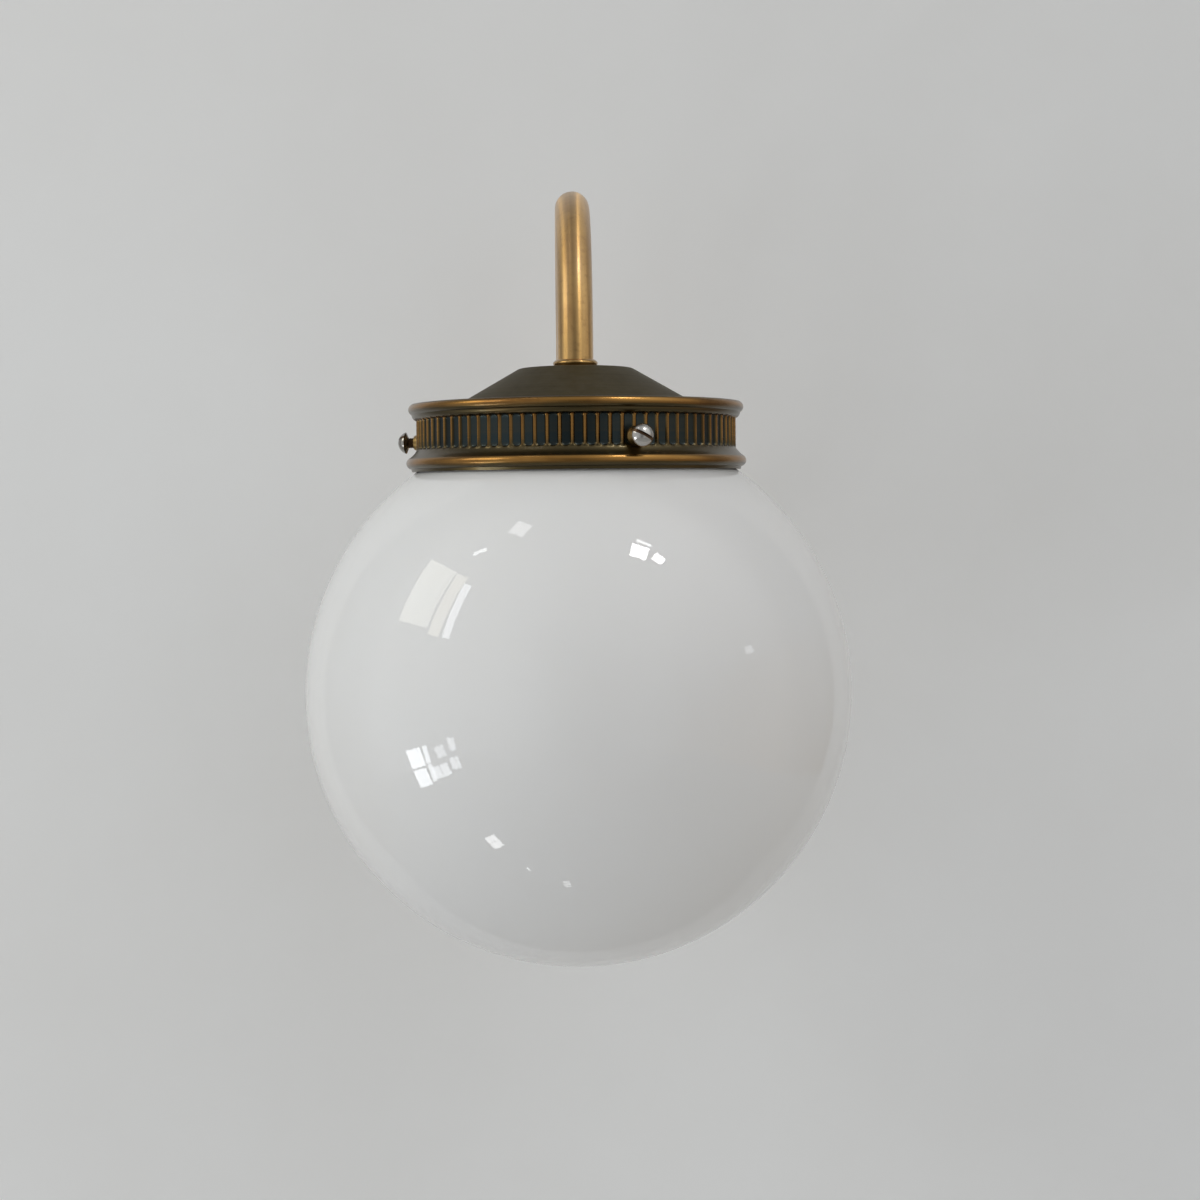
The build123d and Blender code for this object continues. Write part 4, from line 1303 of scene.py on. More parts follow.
    def arc(self, start: tuple, through: tuple, end: tuple, count: int) -> Array:
        """Points of the circle arc through three points, its two ends included.

        The centre c solves |c - start| = |c - through| = |c - end|, which is linear in c.

        Args:
            start: the first point, (across, along).
            through: a point between the two ends.
            end: the last point.
            count: how many points to give.

        Returns:
            The points, count x 2.
        """
        a, b, c = (np.array(p, float) for p in (start, through, end))
        system = 2 * np.stack([b - a, c - a])
        centre = np.linalg.solve(system, [b @ b - a @ a, c @ c - a @ a])
        first, mid, last = (math.atan2(*(p - centre)[::-1]) for p in (a, b, c))
        sweep = (last - first) % FULL_TURN
        if (mid - first) % FULL_TURN > sweep:
            sweep -= FULL_TURN
        angle = first + np.linspace(0, sweep, count)
        size = np.linalg.norm(a - centre)
        return centre + size * np.stack([np.cos(angle), np.sin(angle)], axis=1)

    def hollow(self, start: tuple, end: tuple, sag: float, count: int) -> Array:
        """Points of a slightly hollow slope between two points, its two ends included.

        Args:
            start: the first point, (across, along).
            end: the last point.
            sag: how far its middle lies to the left of the straight way.
            count: how many points to give.

        Returns:
            The points, count x 2.
        """
        a, b = np.array(start, float), np.array(end, float)
        chord = (b - a) / np.linalg.norm(b - a)
        middle = (a + b) / 2 + sag * np.array([-chord[1], chord[0]])
        return self.arc(start, tuple(middle), end, count)

    def band_outline(self) -> Array:
        """The band's outline, from its rim up the outside, and down its bore.

        Returns:
            The closed outline's points, count x 2.
        """
        skirt, cove = self.ridge + self.skirt_out, self.ridge + self.cove_out
        belt = self.belt_levels()
        lower = self.arc(
            (self.rim_r, self.bead_z),
            (self.lower_bead, self.bead_z + self.lower_bead_h / 2),
            (skirt, self.skirt_z),
            13,
        )
        slope = self.hollow((skirt, self.skirt_z), (self.ridge, self.flute_z), 0.15, 7)
        cut = self.hollow((self.ridge, self.cove_z), (cove, self.upper_z), -0.35, 11)
        upper = self.arc(
            (cove, self.upper_z),
            (self.upper_bead, self.upper_z + self.upper_bead_h / 2),
            (cove, self.top_z),
            13,
        )
        ledge = self.bore + self.ledge_out
        ledge_z = self.top_z - self.cover_sink - self.cover_wall
        step = 1.3
        inside = rounded([
            (cove, self.top_z), (ledge, self.top_z, 0.15), (ledge, ledge_z), (self.bore, ledge_z),
            (self.bore, self.flute_z - step), (self.rim_bore, self.skirt_z - step),
            (self.rim_bore, self.rim_z, 0.15), (self.rim_r, self.rim_z, 0.2),
            (self.rim_r, self.bead_z),
        ])
        return np.concatenate([
            lower, slope[1:-1], np.stack([np.full_like(belt, self.ridge), belt], axis=1),
            cut[1:-1], upper, inside[1:-1],
        ])

    def build(self) -> None:
        """Builds and dresses the gallery's pieces."""
        band = lathe(
            self.band_outline(), self.axis, self.belt_turns(), closed=True, relief=self.flute_relief
        )
        self.shop.make(
            "band", [band], PATINATED_BRASS, FRAME_BODY, ["gallery_band"], "patinated_brass", 48.0
        )
        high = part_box("gallery_cover")[1]
        edge, top, ring_z = high.x / MM, high.z / MM, self.top_z - self.cover_sink
        cover = shell(
            [(TUBE_HOLE, top), (self.cover_top, top, 2.0), (self.cover_foot, ring_z, 2.5),
             (edge, ring_z)],
            self.cover_wall,
        )
        self.shop.make(
            "cover", [lathe(rounded(cover, closed=True), self.axis, 160, closed=True)],
            SPUN_BRASS, FRAME_BODY, ["gallery_cover"], "satin_brown_brass",
        )
        self.bushes()
        self.screws()

    def bushes(self) -> None:
        """The three threaded seats, riveted through the band."""
        flange, nose, spigot, hole = 2.65, 1.9, 2.2, 1.55
        back, seat = self.bore - 0.65, self.ridge - 0.65
        slope, face = self.ridge + 0.5, self.ridge + 2.05
        outline = rounded([
            (hole, back), (spigot, back), (spigot, seat), (flange, seat), (flange, slope, 0.25),
            (nose, face, 0.2), (hole, face),
        ], closed=True)
        surfaces = [
            lathe(outline, outward(azimuth, self.screw_z), 48, closed=True)
            for _, azimuth, _ in self.screw_azimuths
        ]
        self.shop.make(
            "bushes", surfaces, DARK_BRASS, FRAME_BODY, ["gallery_bushes"], "dark_brass"
        )

    def screws(self) -> None:
        """The three slotted screws, each on its own body."""
        for place, azimuth, slot_turn in self.screw_azimuths:
            screw = SlottedHead(slot_turn=slot_turn)
            spindle = outward(azimuth, self.screw_z)
            edge = self.head_under + screw.under
            piece = self.shop.make(
                f"screw_{place}",
                [screw.head(spindle, edge), screw.threaded(spindle, self.screw_tip, edge)],
                NICKEL_WITH_PAINTED_SLOT_SHADE, f"screw_{place}", [f"gallery_screw_{place}"], "nickel",
            )
            screw.soften(piece)


@dataclass
class Globe:
    """The blown globe with its neck and rolled lip.

    Attributes:
        wall: thickness of the ball's glass.
        neck: outer radius of the neck.
        neck_wall: thickness of the neck's glass.
        lip: outer radius of the lip.
        lip_h: height of the lip.
        lip_soft: radius of the lip's outer edges.
        soft: radius of its inner edge.
        shoulder: radius of the hollow where the neck meets the ball.
    """

    shop: Workshop
    wall: float = 2.6
    neck: float = 38.5
    neck_wall: float = 2.5
    lip: float = 41.0
    lip_h: float = 3.25
    lip_soft: float = 1.1
    soft: float = 1.0
    shoulder: float = 1.5

    def outline(self) -> Array:
        """From the lowest point up the outside, over the lip and down the inside.

        Returns:
            The outline's points, count x 2.
        """
        low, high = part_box("globe")
        ball = round((high.x - low.x) / 2 / MM)
        centre, top = low.z / MM + ball, high.z / MM
        outer = ball_on_neck(ball, self.neck, centre, top - self.lip_h - 0.5, self.shoulder)
        bore = self.neck - self.neck_wall
        inner = ball_on_neck(ball - self.wall, bore, centre, top - self.lip_h, self.shoulder)
        lip = rounded([
            tuple(outer[-1]), (self.neck, top - self.lip_h, 0.4),
            (self.lip, top - self.lip_h, self.lip_soft), (self.lip, top, self.lip_soft),
            (bore, top, self.soft), tuple(inner[-1]),
        ])
        return np.concatenate([outer, lip[1:-1], inner[::-1]])

    def build(self) -> None:
        """Builds and dresses the globe."""
        self.shop.make(
            "globe_glass", [lathe(self.outline(), lamp_axis(), 256)],
            OPAL, "globe", ["globe"], "opal_glass", 60.0,
        )


@dataclass
class SwanNeck:
    """The bent tube with its two turned collars, and the nuts and washers that hold its ends.

    Attributes:
        tube: outer radius of the tube.
        wall: its thickness.
        leg_out: the wall to the back leg's middle line.
        elbow: radius of the bend off the wall plate.
        collar: outer radius of a collar.
        collar_h: its height.
        into_boss: how far below the nut the tube's end is.
    """

    shop: Workshop
    tube: float = TUBE_R
    wall: float = 1.0
    leg_out: float = 43.0
    elbow: float = 20.0
    collar: float = 6.2
    collar_h: float = 2.4
    into_boss: float = 6.5

    def line(self) -> Array:
        """The tube's middle line: distance out of the wall and height, from the plate to the lamp.

        It goes straight out, up through a quarter turn, straight up, over through a half turn
        and straight down. The half turn's radius is half of the way from the leg to the axis.

        Returns:
            The line's points, count x 2.
        """
        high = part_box("swan_neck_arm")[1]
        reach = -lamp_axis().origin[1]
        arch = (reach - self.leg_out) / 2
        arch_z = high.z / MM - self.tube - arch
        start, end = -high.y / MM, self.end_height()
        quarter = np.linspace(0, math.pi / 2, 25)
        half = np.linspace(math.pi, 0, 97)
        bend_out = self.leg_out - self.elbow
        outward_run = levels(start, bend_out, 1.5)[:-1]
        leg = levels(self.elbow, arch_z, 2.0)[1:-1]
        drop = levels(end, arch_z, 2.0)[::-1][1:]
        out = [
            outward_run, bend_out + self.elbow * np.sin(quarter), np.full_like(leg, self.leg_out),
            self.leg_out + arch * (1 + np.cos(half)), np.full_like(drop, reach),
        ]
        height = [
            np.zeros_like(outward_run), self.elbow * (1 - np.cos(quarter)), leg,
            arch_z + arch * np.sin(half), drop,
        ]
        return np.stack([np.concatenate(out), np.concatenate(height)], axis=1)

    def end_height(self) -> float:
        """Height of the tube's lower end, inside the lampholder's boss."""
        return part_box("arm_gallery_nut")[0].z / MM - self.into_boss

    def pipe(self) -> Surface:
        """The tube: its middle line carries a circle, outside and back along the inside.

        A point is middle + radius * (cos(turn) * normal + sin(turn) * X), where the normal is
        the line's own, in its upright plane.

        Returns:
            The tube's surface.
        """
        around = 64
        line = self.line()
        ahead = np.gradient(line, axis=0)
        ahead /= np.linalg.norm(ahead, axis=1)[:, None]
        walked = np.concatenate([[0], np.cumsum(np.linalg.norm(np.diff(line, axis=0), axis=1))])
        turn = np.arange(around) * FULL_TURN / around
        sheets, runs = [], []
        for radius, order in ((self.tube, 1), (self.tube - self.wall, -1)):
            middle, way, gone = line[::order], ahead[::order], walked[::order]
            out = middle[:, :1] + radius * np.cos(turn) * -way[:, 1:]
            height = middle[:, 1:] + radius * np.cos(turn) * way[:, :1]
            side = np.broadcast_to(radius * np.sin(turn), out.shape)
            sheets.append(np.stack([side, -out, height], axis=-1))
            runs.append(np.stack(np.broadcast_arrays(
                np.cos(turn)[None], np.sin(turn)[None], gone[:, None]), axis=-1))
        points, run = np.concatenate(sheets), np.concatenate(runs)
        return Surface(points, run, np.ones(points.shape[:2]), rows_meet=True)

    def collar_outline(self, base: float) -> Array:
        """A collar's outline on its seat: a small foot, a rolled edge and a neck at the tube.

        Args:
            base: where the seat is, along the tube.

        Returns:
            The closed outline's points, count x 2.
        """
        shoulder, end = base + self.collar_h * 0.72, base + self.collar_h
        return rounded([
            (TUBE_HOLE, base), (self.collar, base, 0.35), (self.collar, shoulder, 0.7),
            (TUBE_HOLE + 0.4, end, 0.3), (TUBE_HOLE, end),
        ], closed=True)

    def build(self) -> None:
        """Builds and dresses the arm's pieces."""
        self.shop.make(
            "arm_tube", [self.pipe()], AGED_BRASS, FRAME_BODY, ["swan_neck_arm"], "aged_brass"
        )
        seats = {
            "arm_gallery_collar": (lamp_axis(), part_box("arm_gallery_collar")[0].z / MM),
            "arm_wall_collar": (PLATE_AXIS, -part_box("arm_wall_collar")[1].y / MM),
        }
        for node, (spindle, base) in seats.items():
            surface = lathe(self.collar_outline(base), spindle, 72, closed=True)
            name = node.replace("arm_", "").replace("_collar", "_side_collar")
            self.shop.make(name, [surface], TURNED_BRASS, FRAME_BODY, [node], "aged_brass")
        for node in ("arm_wall_nut", "arm_gallery_nut", "arm_wall_lock_washer",
                     "arm_gallery_lock_washer"):
            self.shop.dress(node, ZINC_STEEL)
        self.shop.dress("arm_wire_bush", NYLON)


@dataclass
class WallFixing:
    """The wall plate, its bracket and side screws, and the wiring behind it.

    Attributes:
        shop: where the pieces are made.
        wall: thickness of the plate's sheet.
        rim_depth: how far the flat ring at the plate's edge is from the wall.
        ring: width of that ring.
        boss: radius of the flat in the plate's middle.
        soft: radius of its bends.
        screw_gap: how far the side screws' heads stand off the plate's side.
        screw_tip: how far the side screws' tips are from its middle.
    """

    shop: Workshop
    wall: float = 1.0
    rim_depth: float = 10.0
    ring: float = 5.0
    boss: float = 14.0
    soft: float = 3.0
    screw_gap: float = 0.05
    screw_tip: float = 41.0

    def build(self) -> None:
        """Builds and dresses the pieces at the wall."""
        low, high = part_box("wall_plate")
        radius, depth = high.x / MM, -low.y / MM
        corners = shell(
            [(TUBE_HOLE, depth), (self.boss, depth, self.soft),
             (radius - self.ring, self.rim_depth, self.soft), (radius, self.rim_depth, self.soft),
             (radius, 0.0)],
            self.wall,
        )
        plate = lathe(rounded(corners, closed=True), PLATE_AXIS, 160, closed=True)
        self.shop.make("plate", [plate], TURNED_BRASS, FRAME_BODY, ["wall_plate"], "aged_brass")
        self.side_screws(radius)
        for node in ("wall_bracket", "terminal_block_screws", "terminal_block_fixing_screw",
                     "earth_screw", "earth_tag"):
            self.shop.dress(node, ZINC_STEEL)
        self.shop.dress("terminal_block", NYLON)
        self.shop.dress("terminal_block_clamps", CAD_BRASS)
        for node, finish in (("wire_live", BROWN_WIRE), ("wire_neutral", BLUE_WIRE),
                             ("wire_earth", EARTH_WIRE), ("wire_bracket_earth", EARTH_WIRE)):
            self.shop.dress(node, finish)

    def side_screws(self, radius: float) -> None:
        """The two domed screws that hold the plate to the bracket's ears.

        Args:
            radius: the plate's radius.
        """
        low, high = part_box("wall_plate_screws")
        screw = SlottedHead(radius=2.75, dome=1.7, under=0.5, cut=1.0, slot_turn=90.0)
        middle = (low.y + high.y) / 2 / MM
        surfaces = []
        for way in (-1, 1):
            spindle = Spindle((0.0, middle, 0.0), (way, 0, 0), (0, way, 0))
            edge = radius + self.screw_gap + screw.under
            surfaces += [screw.head(spindle, edge), screw.threaded(spindle, self.screw_tip, edge)]
        piece = self.shop.make(
            "plate_screws", surfaces, NICKEL_WITH_PAINTED_SLOT_SHADE, FRAME_BODY, ["wall_plate_screws"], "nickel"
        )
        screw.soften(piece)


@dataclass
class Lampholder:
    """The screw lampholder under the gallery's cover.

    Attributes:
        shop: where the pieces are made.
        boss: outer radius of the boss that the tube ends in.
        boss_h: its height.
        cap: outer radius of the cap.
        cap_wall: thickness of its sheet.
        cap_soft: radius of its shoulder.
        barrel_wall: thickness of the barrel.
        ring_bore: inner radius of the shade ring.
        knurls: how many grooves go round it.
        flange_h: height of the core's flange.
        skirt: outer radius of the core's skirt.
        skirt_bore: its inner radius.
        shell: outer radius of the screw shell.
        shell_wall: thickness of its sheet.
    """

    shop: Workshop
    boss: float = 7.5
    boss_h: float = 7.5
    cap: float = 20.2
    cap_wall: float = 1.0
    cap_soft: float = 7.0
    barrel_wall: float = 0.9
    ring_bore: float = 19.15
    knurls: int = 60
    flange_h: float = 9.0
    skirt: float = 16.2
    skirt_bore: float = 14.15
    shell: float = 14.05
    shell_wall: float = 0.25

    def build(self) -> None:
        """Builds and dresses the lampholder's pieces."""
        axis = lamp_axis()
        low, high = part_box("lampholder_cap")
        end, top = low.z / MM, high.z / MM
        shoulder = top - self.boss_h
        bore, ceiling = self.cap - self.cap_wall, shoulder - self.cap_wall
        cap = rounded([
            (TUBE_HOLE, top), (self.boss, top, 0.4), (self.boss, shoulder, 0.8),
            (self.cap, shoulder, self.cap_soft), (self.cap, end, 0.3), (bore, end),
            (bore, ceiling, self.cap_soft - self.cap_wall), (TUBE_HOLE, ceiling),
        ], closed=True)
        self.shop.make(
            "holder_cap", [lathe(cap, axis, 96, closed=True)], PLAIN_BRASS, FRAME_BODY,
            ["lampholder_cap"], "plain_brass",
        )
        self.barrel(axis)
        self.ring(axis)
        self.core(axis)
        for node in ("lampholder_terminals", "lampholder_centre_contact"):
            self.shop.dress(node, CAD_BRASS)
        self.shop.dress("lampholder_terminal_screws", ZINC_STEEL)

    def barrel(self, axis: Spindle) -> None:
        """The barrel, with a thread outside for the shade ring.

        Args:
            axis: the lamp's axis.
        """
        pitch, depth, plain, threaded = 2.0, 0.3, 1.0, 24.0
        low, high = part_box("lampholder_barrel")
        end, top, outer = low.z / MM, high.z / MM, high.x / MM
        outside = levels(end + 0.3, top, 0.3)
        line = np.concatenate([
            np.stack([np.full_like(outside, outer), outside], axis=1),
            [[outer - self.barrel_wall, top], [outer - self.barrel_wall, end],
             [outer - 0.3, end]],
        ])
        cut = thread(pitch, depth, end + plain, end + threaded)

        def outer_only(turn: Array, across: Array, along: Array) -> tuple[Array, Array]:
            """The thread, on the outer face alone."""
            sunk, rub = cut(turn, across, along)
            return sunk * (across > outer - 0.1), rub

        surface = lathe(line, axis, 96, closed=True, relief=outer_only)
        self.shop.make(
            "holder_barrel", [surface], PLAIN_BRASS, FRAME_BODY, ["lampholder_barrel"],
            "plain_brass", 50.0,
        )

    def ring(self, axis: Spindle) -> None:
        """The shade ring, with a knurled edge.

        The edge sinks by depth * (1 + cos(knurls * turn)) / 2 where it stands out.

        Args:
            axis: the lamp's axis.
        """
        depth, edge = 0.35, 0.6
        low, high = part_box("lampholder_shade_ring")
        base, top, outer = low.z / MM, high.z / MM, high.x / MM
        outline = rounded([
            (self.ring_bore, base), (outer, base, 0.8), (outer, top, 0.8), (self.ring_bore, top)
        ], closed=True)

        def knurl(turn: Array, across: Array, along: Array) -> tuple[Array, Array]:
            """Flat grooves in the outer edge, and no rub."""
            rim = np.clip((across - (outer - edge)) / edge, 0, 1)
            return -depth * rim * (1 + np.cos(self.knurls * turn)) / 2, np.zeros(1)

        surface = lathe(outline, axis, self.knurls * 6, closed=True, relief=knurl)
        self.shop.make(
            "holder_ring", [surface], PLAIN_BRASS, FRAME_BODY, ["lampholder_shade_ring"],
            "plain_brass",
        )

    def core(self, axis: Spindle) -> None:
        """The porcelain core, and the rolled screw shell inside its skirt.

        Args:
            axis: the lamp's axis.
        """
        low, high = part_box("lampholder_core")
        skirt_z, top, outer = low.z / MM, high.z / MM, high.x / MM
        under = top - self.flange_h
        core = rounded([
            (0, top), (outer, top, 0.6), (outer, under, 0.6), (self.skirt, under, 0.5),
            (self.skirt, skirt_z, 0.6), (self.skirt_bore, skirt_z, 0.5), (self.skirt_bore, under),
            (0, under),
        ])
        self.shop.make(
            "holder_core", [lathe(core, axis, 96)], PORCELAIN, FRAME_BODY, ["lampholder_core"],
            "porcelain",
        )
        low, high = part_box("lampholder_screw_shell")
        end, top = low.z / MM, high.z / MM
        rows = levels(end, top, 0.3)
        line = np.concatenate([
            np.stack([np.full_like(rows, self.shell), rows], axis=1),
            np.stack([np.full_like(rows, self.shell - self.shell_wall), rows[::-1]], axis=1),
        ])
        rolled = thread(CAP_PITCH, 0.22, end + 0.8, top - 0.5)
        self.shop.make(
            "holder_screw_shell", [lathe(line, axis, 84, closed=True, relief=rolled)], PLAIN_BRASS,
            FRAME_BODY, ["lampholder_screw_shell"], "plain_brass", 50.0,
        )


@dataclass
class Bulb:
    """A small round filament-style bulb with a screw cap.

    Attributes:
        shop: where the pieces are made.
        glass_wall: thickness of the glass.
        ball: radius of its ball.
        neck_soft: radius of the hollow where the neck meets the ball.
        cap_wall: thickness of the cap's sheet.
        neck_gap: how far the neck is inside the cap's sheet.
        thread_depth: depth of the cap's thread.
    """

    shop: Workshop
    glass_wall: float = 0.8
    ball: float = 22.5
    neck_soft: float = 7.0
    cap_wall: float = 0.4
    neck_gap: float = 0.95
    thread_depth: float = 0.85

    def build(self) -> None:
        """Builds and dresses the bulb's pieces."""
        axis = lamp_axis()
        low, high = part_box("bulb_glass")
        top, centre = high.z / MM, low.z / MM + self.ball
        cap_low, cap_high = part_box("bulb_screw_cap")
        cap_r, end, cap_top = cap_high.x / MM, cap_low.z / MM, cap_high.z / MM
        neck, ceiling = cap_r - self.cap_wall - self.neck_gap, top - self.glass_wall
        outer = ball_on_neck(self.ball, neck, centre, top, self.neck_soft)
        inner = ball_on_neck(
            self.ball - self.glass_wall, neck - self.glass_wall, centre, ceiling,
            self.neck_soft + self.glass_wall,
        )
        self.shop.make(
            "bulb_envelope", [lathe(np.concatenate([outer, [[0, top]]]), axis, 96),
                              lathe(np.concatenate([inner, [[0, ceiling]]]), axis, 96)],
            CLEAR, "bulb", ["bulb_glass"], "clear_glass", 60.0,
        )
        self.turn_inside_out("bulb_envelope")
        rows, bore = levels(end, cap_top, 0.3), cap_r - 1.2
        line = np.concatenate([
            np.stack([np.full_like(rows, cap_r), rows], axis=1),
            [[bore, cap_top], [bore, end]],
        ])
        rolled = thread(CAP_PITCH, self.thread_depth, end + 2.0, cap_top + 0.3)

        def outside(turn: Array, across: Array, along: Array) -> tuple[Array, Array]:
            """The thread, on the outer face alone."""
            depth, rub = rolled(turn, across, along)
            return depth * (across > cap_r - 0.1), rub

        self.shop.make(
            "bulb_thread", [lathe(line, axis, 84, closed=True, relief=outside)], LAMP_CAP,
            "bulb", ["bulb_screw_cap"], "lamp_cap_metal", 50.0,
        )
        self.foot(axis)
        self.shop.dress("bulb_stem", CLEAR)
        self.shop.dress("bulb_filaments", PHOSPHOR)

    def turn_inside_out(self, name: str) -> None:
        """Turns the faces of the inner surface of a hollow piece towards its hollow.

        Args:
            name: the piece's name.
        """
        mesh = bpy.data.objects[name].data
        low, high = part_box("bulb_glass")
        axis_y, centre = lamp_axis().origin[1] * MM, low.z + self.ball * MM
        limit = (self.ball - self.glass_wall / 2) * MM
        inside = self.cap_wall + self.neck_gap + self.glass_wall / 2
        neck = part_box("bulb_screw_cap")[1].x - inside * MM
        tidy = bmesh.new()
        tidy.from_mesh(mesh)
        faces = []
        for face in tidy.faces:
            middle = face.calc_center_median()
            across = math.hypot(middle.x, middle.y - axis_y)
            in_ball = math.hypot(across, middle.z - centre) < limit
            if (in_ball or across < neck) and middle.z < high.z - 0.5 * MM:
                faces.append(face)
        bmesh.ops.reverse_faces(tidy, faces=faces)
        tidy.to_mesh(mesh)
        tidy.free()

    def foot(self, axis: Spindle) -> None:
        """The black glass insulator and the soldered contact on the cap's end.

        Args:
            axis: the lamp's axis.
        """
        low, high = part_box("bulb_insulator")
        base, top, radius = low.z / MM, high.z / MM, high.x / MM
        contact_low, contact_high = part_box("bulb_contact")
        button, tip = contact_high.x / MM, contact_high.z / MM
        insulator = rounded([
            (0, base), (radius - 0.4, base, 0.4), (button + 0.8, top, 1.5), (0, top)
        ])
        self.shop.make(
            "bulb_end_glass", [lathe(insulator, axis, 72)], BLACK_GLASS, "bulb",
            ["bulb_insulator"], "black_glass",
        )
        solder = rounded([(0, top), (button, top, 0.2), (button - 0.4, tip - 0.2, 0.5), (0, tip)])
        self.shop.make(
            "bulb_end_contact", [lathe(solder, axis, 48)], LAMP_CAP, "bulb",
            ["bulb_contact"], "lamp_cap_metal",
        )


# ============================== Stage ==============================


@dataclass(frozen=True)
class Window:
    """A window that the lamp mirrors: where it is seen from the globe, and how large.

    Attributes:
        toward: direction from the globe to the window.
        size: width and height as angles, in degrees.
        light: how bright it is, where 1 is white.
        panes: panes across and up.
        tint: the colour of its light.
        roll: its turn about the line of sight, in degrees.
        mirrored_only: whether it shows in gloss alone, and the room's light stands for the rest.
    """

    toward: tuple[float, float, float]
    size: tuple[float, float]
    light: float
    panes: tuple[int, int] = (1, 1)
    tint: Rgb = (1.0, 1.0, 1.0)
    roll: float = 0.0
    mirrored_only: bool = False


@dataclass
class Studio:
    """The camera, the wall and floor behind the lamp, and the light.

    Attributes:
        shop: where the finishes are kept.
        eye: the camera's place.
        lens: its focal length, for a sensor as wide as `sensor`.
        sensor: the sensor's width.
        yaw: how far the camera is turned to the right, in degrees.
        pitch: how far it is turned up, in degrees.
        roll: its turn about the line of sight, in degrees.
        rise: the picture's shift, as a share of the sensor's width.
        wall_half: half of the wall's width.
        wall_foot: height of the wall's lower edge.
        wall_top: height of its upper edge.
        wall_gap: how far it is behind the plane that the lamp stands on.
        hole: radius of the hole in it.
        floor_z: height of the floor.
        floor_half: half of the floor's width.
        window_distance: how far the windows are from the globe.
        bar: the share of a pane's width that its frame leaves clear.
        windows: the windows.
    """

    shop: Workshop
    eye: tuple[float, float, float] = (-7.15, -635.7, 35.5)
    lens: float = 54.84
    sensor: float = 36.0
    yaw: float = 1.516
    pitch: float = -1.75
    roll: float = -0.63
    rise: float = -0.0458
    wall_half: float = 264.0
    wall_foot: float = -300.0
    wall_top: float = 420.0
    wall_gap: float = 0.3
    hole: float = 36.0
    floor_z: float = -1800.0
    floor_half: float = 4000.0
    window_distance: float = 1700.0
    bar: float = 0.94
    windows: tuple[Window, ...] = (
        Window((-0.820, -0.165, 0.548), (16.1, 22.0), 2.6, tint=(1.0, 0.99, 0.86), roll=5.4),
        Window((-0.765, -0.353, 0.539), (5.6, 23.6), 2.8, tint=(1.0, 0.93, 0.74)),
        Window((-0.731, -0.438, 0.523), (3.8, 21.3), 5.0, tint=(0.94, 0.96, 1.0), roll=0.9),
        Window((0.357, -0.392, 0.848), (6.2, 6.0), 30.0, roll=-43.6, mirrored_only=True),
        Window((0.466, -0.381, 0.799), (4.0, 3.8), 30.0, roll=-66.8, mirrored_only=True),
        Window((0.377, -0.315, 0.871), (5.4, 1.4), 9.0, roll=-50.9),
        Window((-0.895, -0.302, -0.327), (7.6, 6.5), 8.5, tint=BLUE_SKY, roll=8.8),
        Window((-0.850, -0.300, -0.432), (6.8, 6.0), 8.5, tint=BLUE_SKY, roll=6.8),
        Window((-0.847, -0.390, -0.360), (2.2, 12.6), 7.0, (1, 2), BLUE_SKY, 4.8),
        Window((-0.793, -0.456, -0.404), (7.8, 4.5), 6.0, (2, 1), BLUE_SKY, 11.9),
        Window((-0.817, -0.497, -0.293), (4.5, 4.2), 4.0, tint=BLUE_SKY, roll=13.8),
        Window((-0.772, -0.584, -0.251), (3.1, 4.8), 4.5, tint=BLUE_SKY, roll=7.0),
        Window((-0.742, -0.564, -0.362), (4.3, 4.6), 5.0, tint=BLUE_SKY, roll=7.0),
        Window((-0.479, -0.390, -0.786), (4.8, 5.2), 7.0, (1, 2), roll=12.2),
        Window((0.930, -0.280, 0.238), (4.3, 2.6), 2.5, (2, 1), (0.94, 0.97, 1.0)),
        Window((-0.280, -0.305, -0.910), (0.8, 2.0), 6.0),
        Window((-0.075, -0.237, -0.969), (2.2, 3.7), 3.0),
        Window((-0.548, -0.233, 0.804), (4.9, 1.7), 6.0, roll=52.7),
        Window((-0.321, -0.211, 0.923), (6.0, 6.2), 3.5, (1, 2), roll=98.0),
    )

    def build(self) -> None:
        """Sets the camera, the stage and the light."""
        self.camera()
        self.sheet("wall", *self.wall(), WALL_PLASTER)
        wide = self.floor_half
        self.sheet("floor", [
            (-wide, -wide, self.floor_z), (wide, -wide, self.floor_z),
            (wide, wide, self.floor_z), (-wide, wide, self.floor_z),
        ], [(0, 1, 2, 3)], FLOOR_PLASTER)
        self.world()
        self.lights()

    def camera(self) -> None:
        """A camera straight in front, a little above the globe's middle."""
        data = bpy.data.cameras.new("camera")
        data.lens, data.sensor_width = self.lens, self.sensor
        data.clip_start, data.clip_end = 0.01, 50.0
        data.shift_y = self.rise
        camera = bpy.data.objects.new("camera", data)
        yaw, pitch = math.radians(self.yaw), math.radians(self.pitch)
        ahead = Vector((
            math.sin(yaw) * math.cos(pitch), math.cos(yaw) * math.cos(pitch), math.sin(pitch)
        ))
        camera.rotation_mode = "QUATERNION"
        camera.rotation_quaternion = ahead.to_track_quat("-Z", "Y") @ Quaternion(
            (0, 0, 1), math.radians(self.roll)
        )
        camera.location = Vector(self.eye) * MM
        bpy.context.scene.collection.objects.link(camera)
        bpy.context.scene.camera = camera

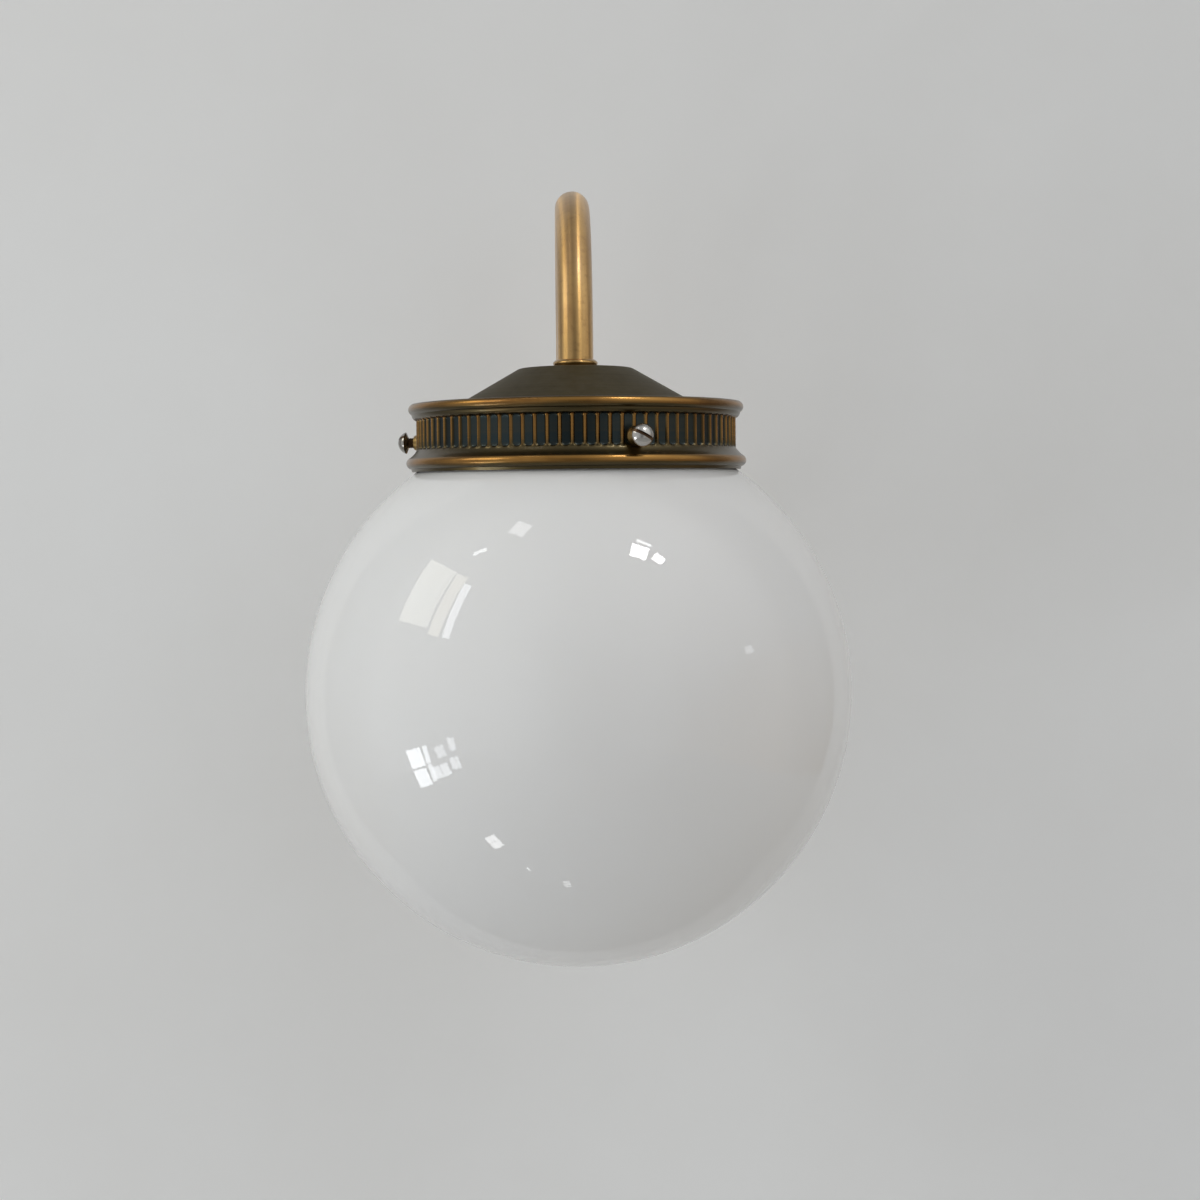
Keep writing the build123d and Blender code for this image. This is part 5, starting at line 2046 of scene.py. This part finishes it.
    def wall(self) -> tuple[list[tuple[float, float, float]], list[tuple[int, ...]]]:
        """The wall, with the round hole that the cable comes through, behind the plate.

        A point of its outline lies along (cos(turn), sin(turn)) from the hole's centre, as far
        out as the nearer of the wall's two edges on that side.

        Returns:
            The corners, the hole's first and the outline's after them, and the faces.
        """
        around = 96
        turn = np.arange(around) * FULL_TURN / around
        way_x, way_z = np.cos(turn), np.sin(turn)
        to_side = self.wall_half / np.maximum(np.abs(way_x), 1e-9)
        to_end = np.where(way_z > 0, self.wall_top, -self.wall_foot) / np.maximum(np.abs(way_z), 1e-9)
        corners = [
            (float(out * x), self.wall_gap, float(out * z))
            for reach in (np.full(around, self.hole), np.minimum(to_side, to_end))
            for out, x, z in zip(reach, way_x, way_z)
        ]
        faces = [
            (k, around + k, around + (k + 1) % around, (k + 1) % around) for k in range(around)
        ]
        return corners, faces

    def sheet(
        self,
        name: str,
        corners: Sequence[tuple[float, float, float]],
        faces: Sequence[tuple[int, ...]],
        finish: Finish,
    ) -> None:
        """A flat sheet of the stage, whose faces go round against the clock from its front.

        Args:
            name: the sheet's name.
            corners: its corners.
            faces: the corners of each face.
            finish: its finish.
        """
        mesh = bpy.data.meshes.new(name)
        mesh.from_pydata([tuple(c * MM for c in corner) for corner in corners], [], faces)
        mesh.materials.append(finish.material(self.shop.effects))
        sheet = bpy.data.objects.new(name, mesh)
        bpy.context.scene.collection.objects.link(sheet)

    def world(self) -> None:
        """The room's even light.

        It is brighter above and to the right, under a skylight, and darker in a band straight
        ahead, where the room is deep. It is dim beyond the wall's edges, and dim and warm to the
        lower right, where the floor's light comes from.
        """
        world = bpy.data.worlds.new("room")
        world.use_nodes = True
        bpy.context.scene.world = world
        g = Graph(world.node_tree)
        way = g.add("SeparateXYZ", {0: g.add("TexCoord").outputs["Object"]}).outputs
        level = g.spread(g.math("ABSOLUTE", way[0]), 0.08, 0.5, 0.23, 0.665)
        skylight = g.math("MULTIPLY_ADD", way[0], 0.4, g.math("MULTIPLY", way[2], 0.83))
        skylight = g.math("MULTIPLY_ADD", way[1], -0.4, skylight)
        level = g.math("ADD", level, g.spread(skylight, 0.6, 1.0, 0.0, 0.5))
        level = g.math("ADD", level, g.spread(way[0], -0.8, -0.3, 0.05, 0.0))
        level = g.math("MULTIPLY", level, g.spread(way[1], 0.0, 0.2, 1.0, 0.5))
        low_right = g.math("MULTIPLY_ADD", way[2], -0.75, g.math("MULTIPLY", way[0], 0.66))
        warm = g.spread(low_right, 0.42, 0.92, 0.0, 1.0)
        level = g.math("MULTIPLY", level, g.spread(warm, 0.0, 1.0, 1.0, 0.7))
        tint = g.mix(warm, (0.965, 0.985, 1.0), (1.0, 0.76, 0.52))
        ground = g.add("Background", {"Color": tint, "Strength": level})
        g.add("OutputWorld", {"Surface": ground.outputs[0]})

    def lights(self) -> None:
        """The windows that the lamp mirrors."""
        centre = Vector((0.0, lamp_axis().origin[1], -20.0))
        for number, window in enumerate(self.windows):
            toward = Vector(window.toward).normalized()
            turn = (-toward).to_track_quat("-Z", "Y") @ Quaternion(
                (0, 0, 1), math.radians(window.roll)
            )
            width, height = (
                2 * self.window_distance * math.tan(math.radians(a) / 2) for a in window.size
            )
            across, up = window.panes
            for i in range(across):
                for j in range(up):
                    shift = Vector((
                        ((i + 0.5) / across - 0.5) * width, ((j + 0.5) / up - 0.5) * height, 0
                    ))
                    place = centre + toward * self.window_distance + turn @ shift
                    lamp = self.area(
                        f"window_{number}_{i}_{j}", place, turn,
                        (width / across * self.bar, height / up * self.bar),
                        window.light, window.tint,
                    )
                    lamp.visible_diffuse = not window.mirrored_only

    def area(
        self,
        name: str,
        place: Vector,
        turn: Quaternion,
        size: tuple[float, float],
        light: float,
        tint: Rgb,
    ) -> bpy.types.Object:
        """An area light of a given brightness.

        An area light of power P and area A is as bright as P / (pi * A).

        Args:
            name: the light's name.
            place: where its middle is.
            turn: how it is turned.
            size: its width and height.
            light: its brightness, where 1 is white.
            tint: its colour.

        Returns:
            The light.
        """
        data = bpy.data.lights.new(name, "AREA")
        data.shape, data.size, data.size_y = "RECTANGLE", size[0] * MM, size[1] * MM
        data.energy = light * math.pi * data.size * data.size_y
        data.color = tint
        lamp = bpy.data.objects.new(name, data)
        lamp.location = place * MM
        lamp.rotation_mode = "QUATERNION"
        lamp.rotation_quaternion = turn
        lamp.visible_camera = False
        bpy.context.scene.collection.objects.link(lamp)
        return lamp


def main() -> None:
    """Builds the stage and the lamp."""
    logging.basicConfig(level=logging.INFO, format="%(message)s")
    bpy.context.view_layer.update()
    shop = Workshop()
    bpy.context.scene.view_settings.view_transform = "Standard"
    Studio(shop).build()
    for assembly in (Gallery(shop), Globe(shop), SwanNeck(shop), WallFixing(shop),
                     Lampholder(shop), Bulb(shop)):
        assembly.build()
        log.info("%s is built", type(assembly).__name__)


if __name__ == "__main__":
    main()
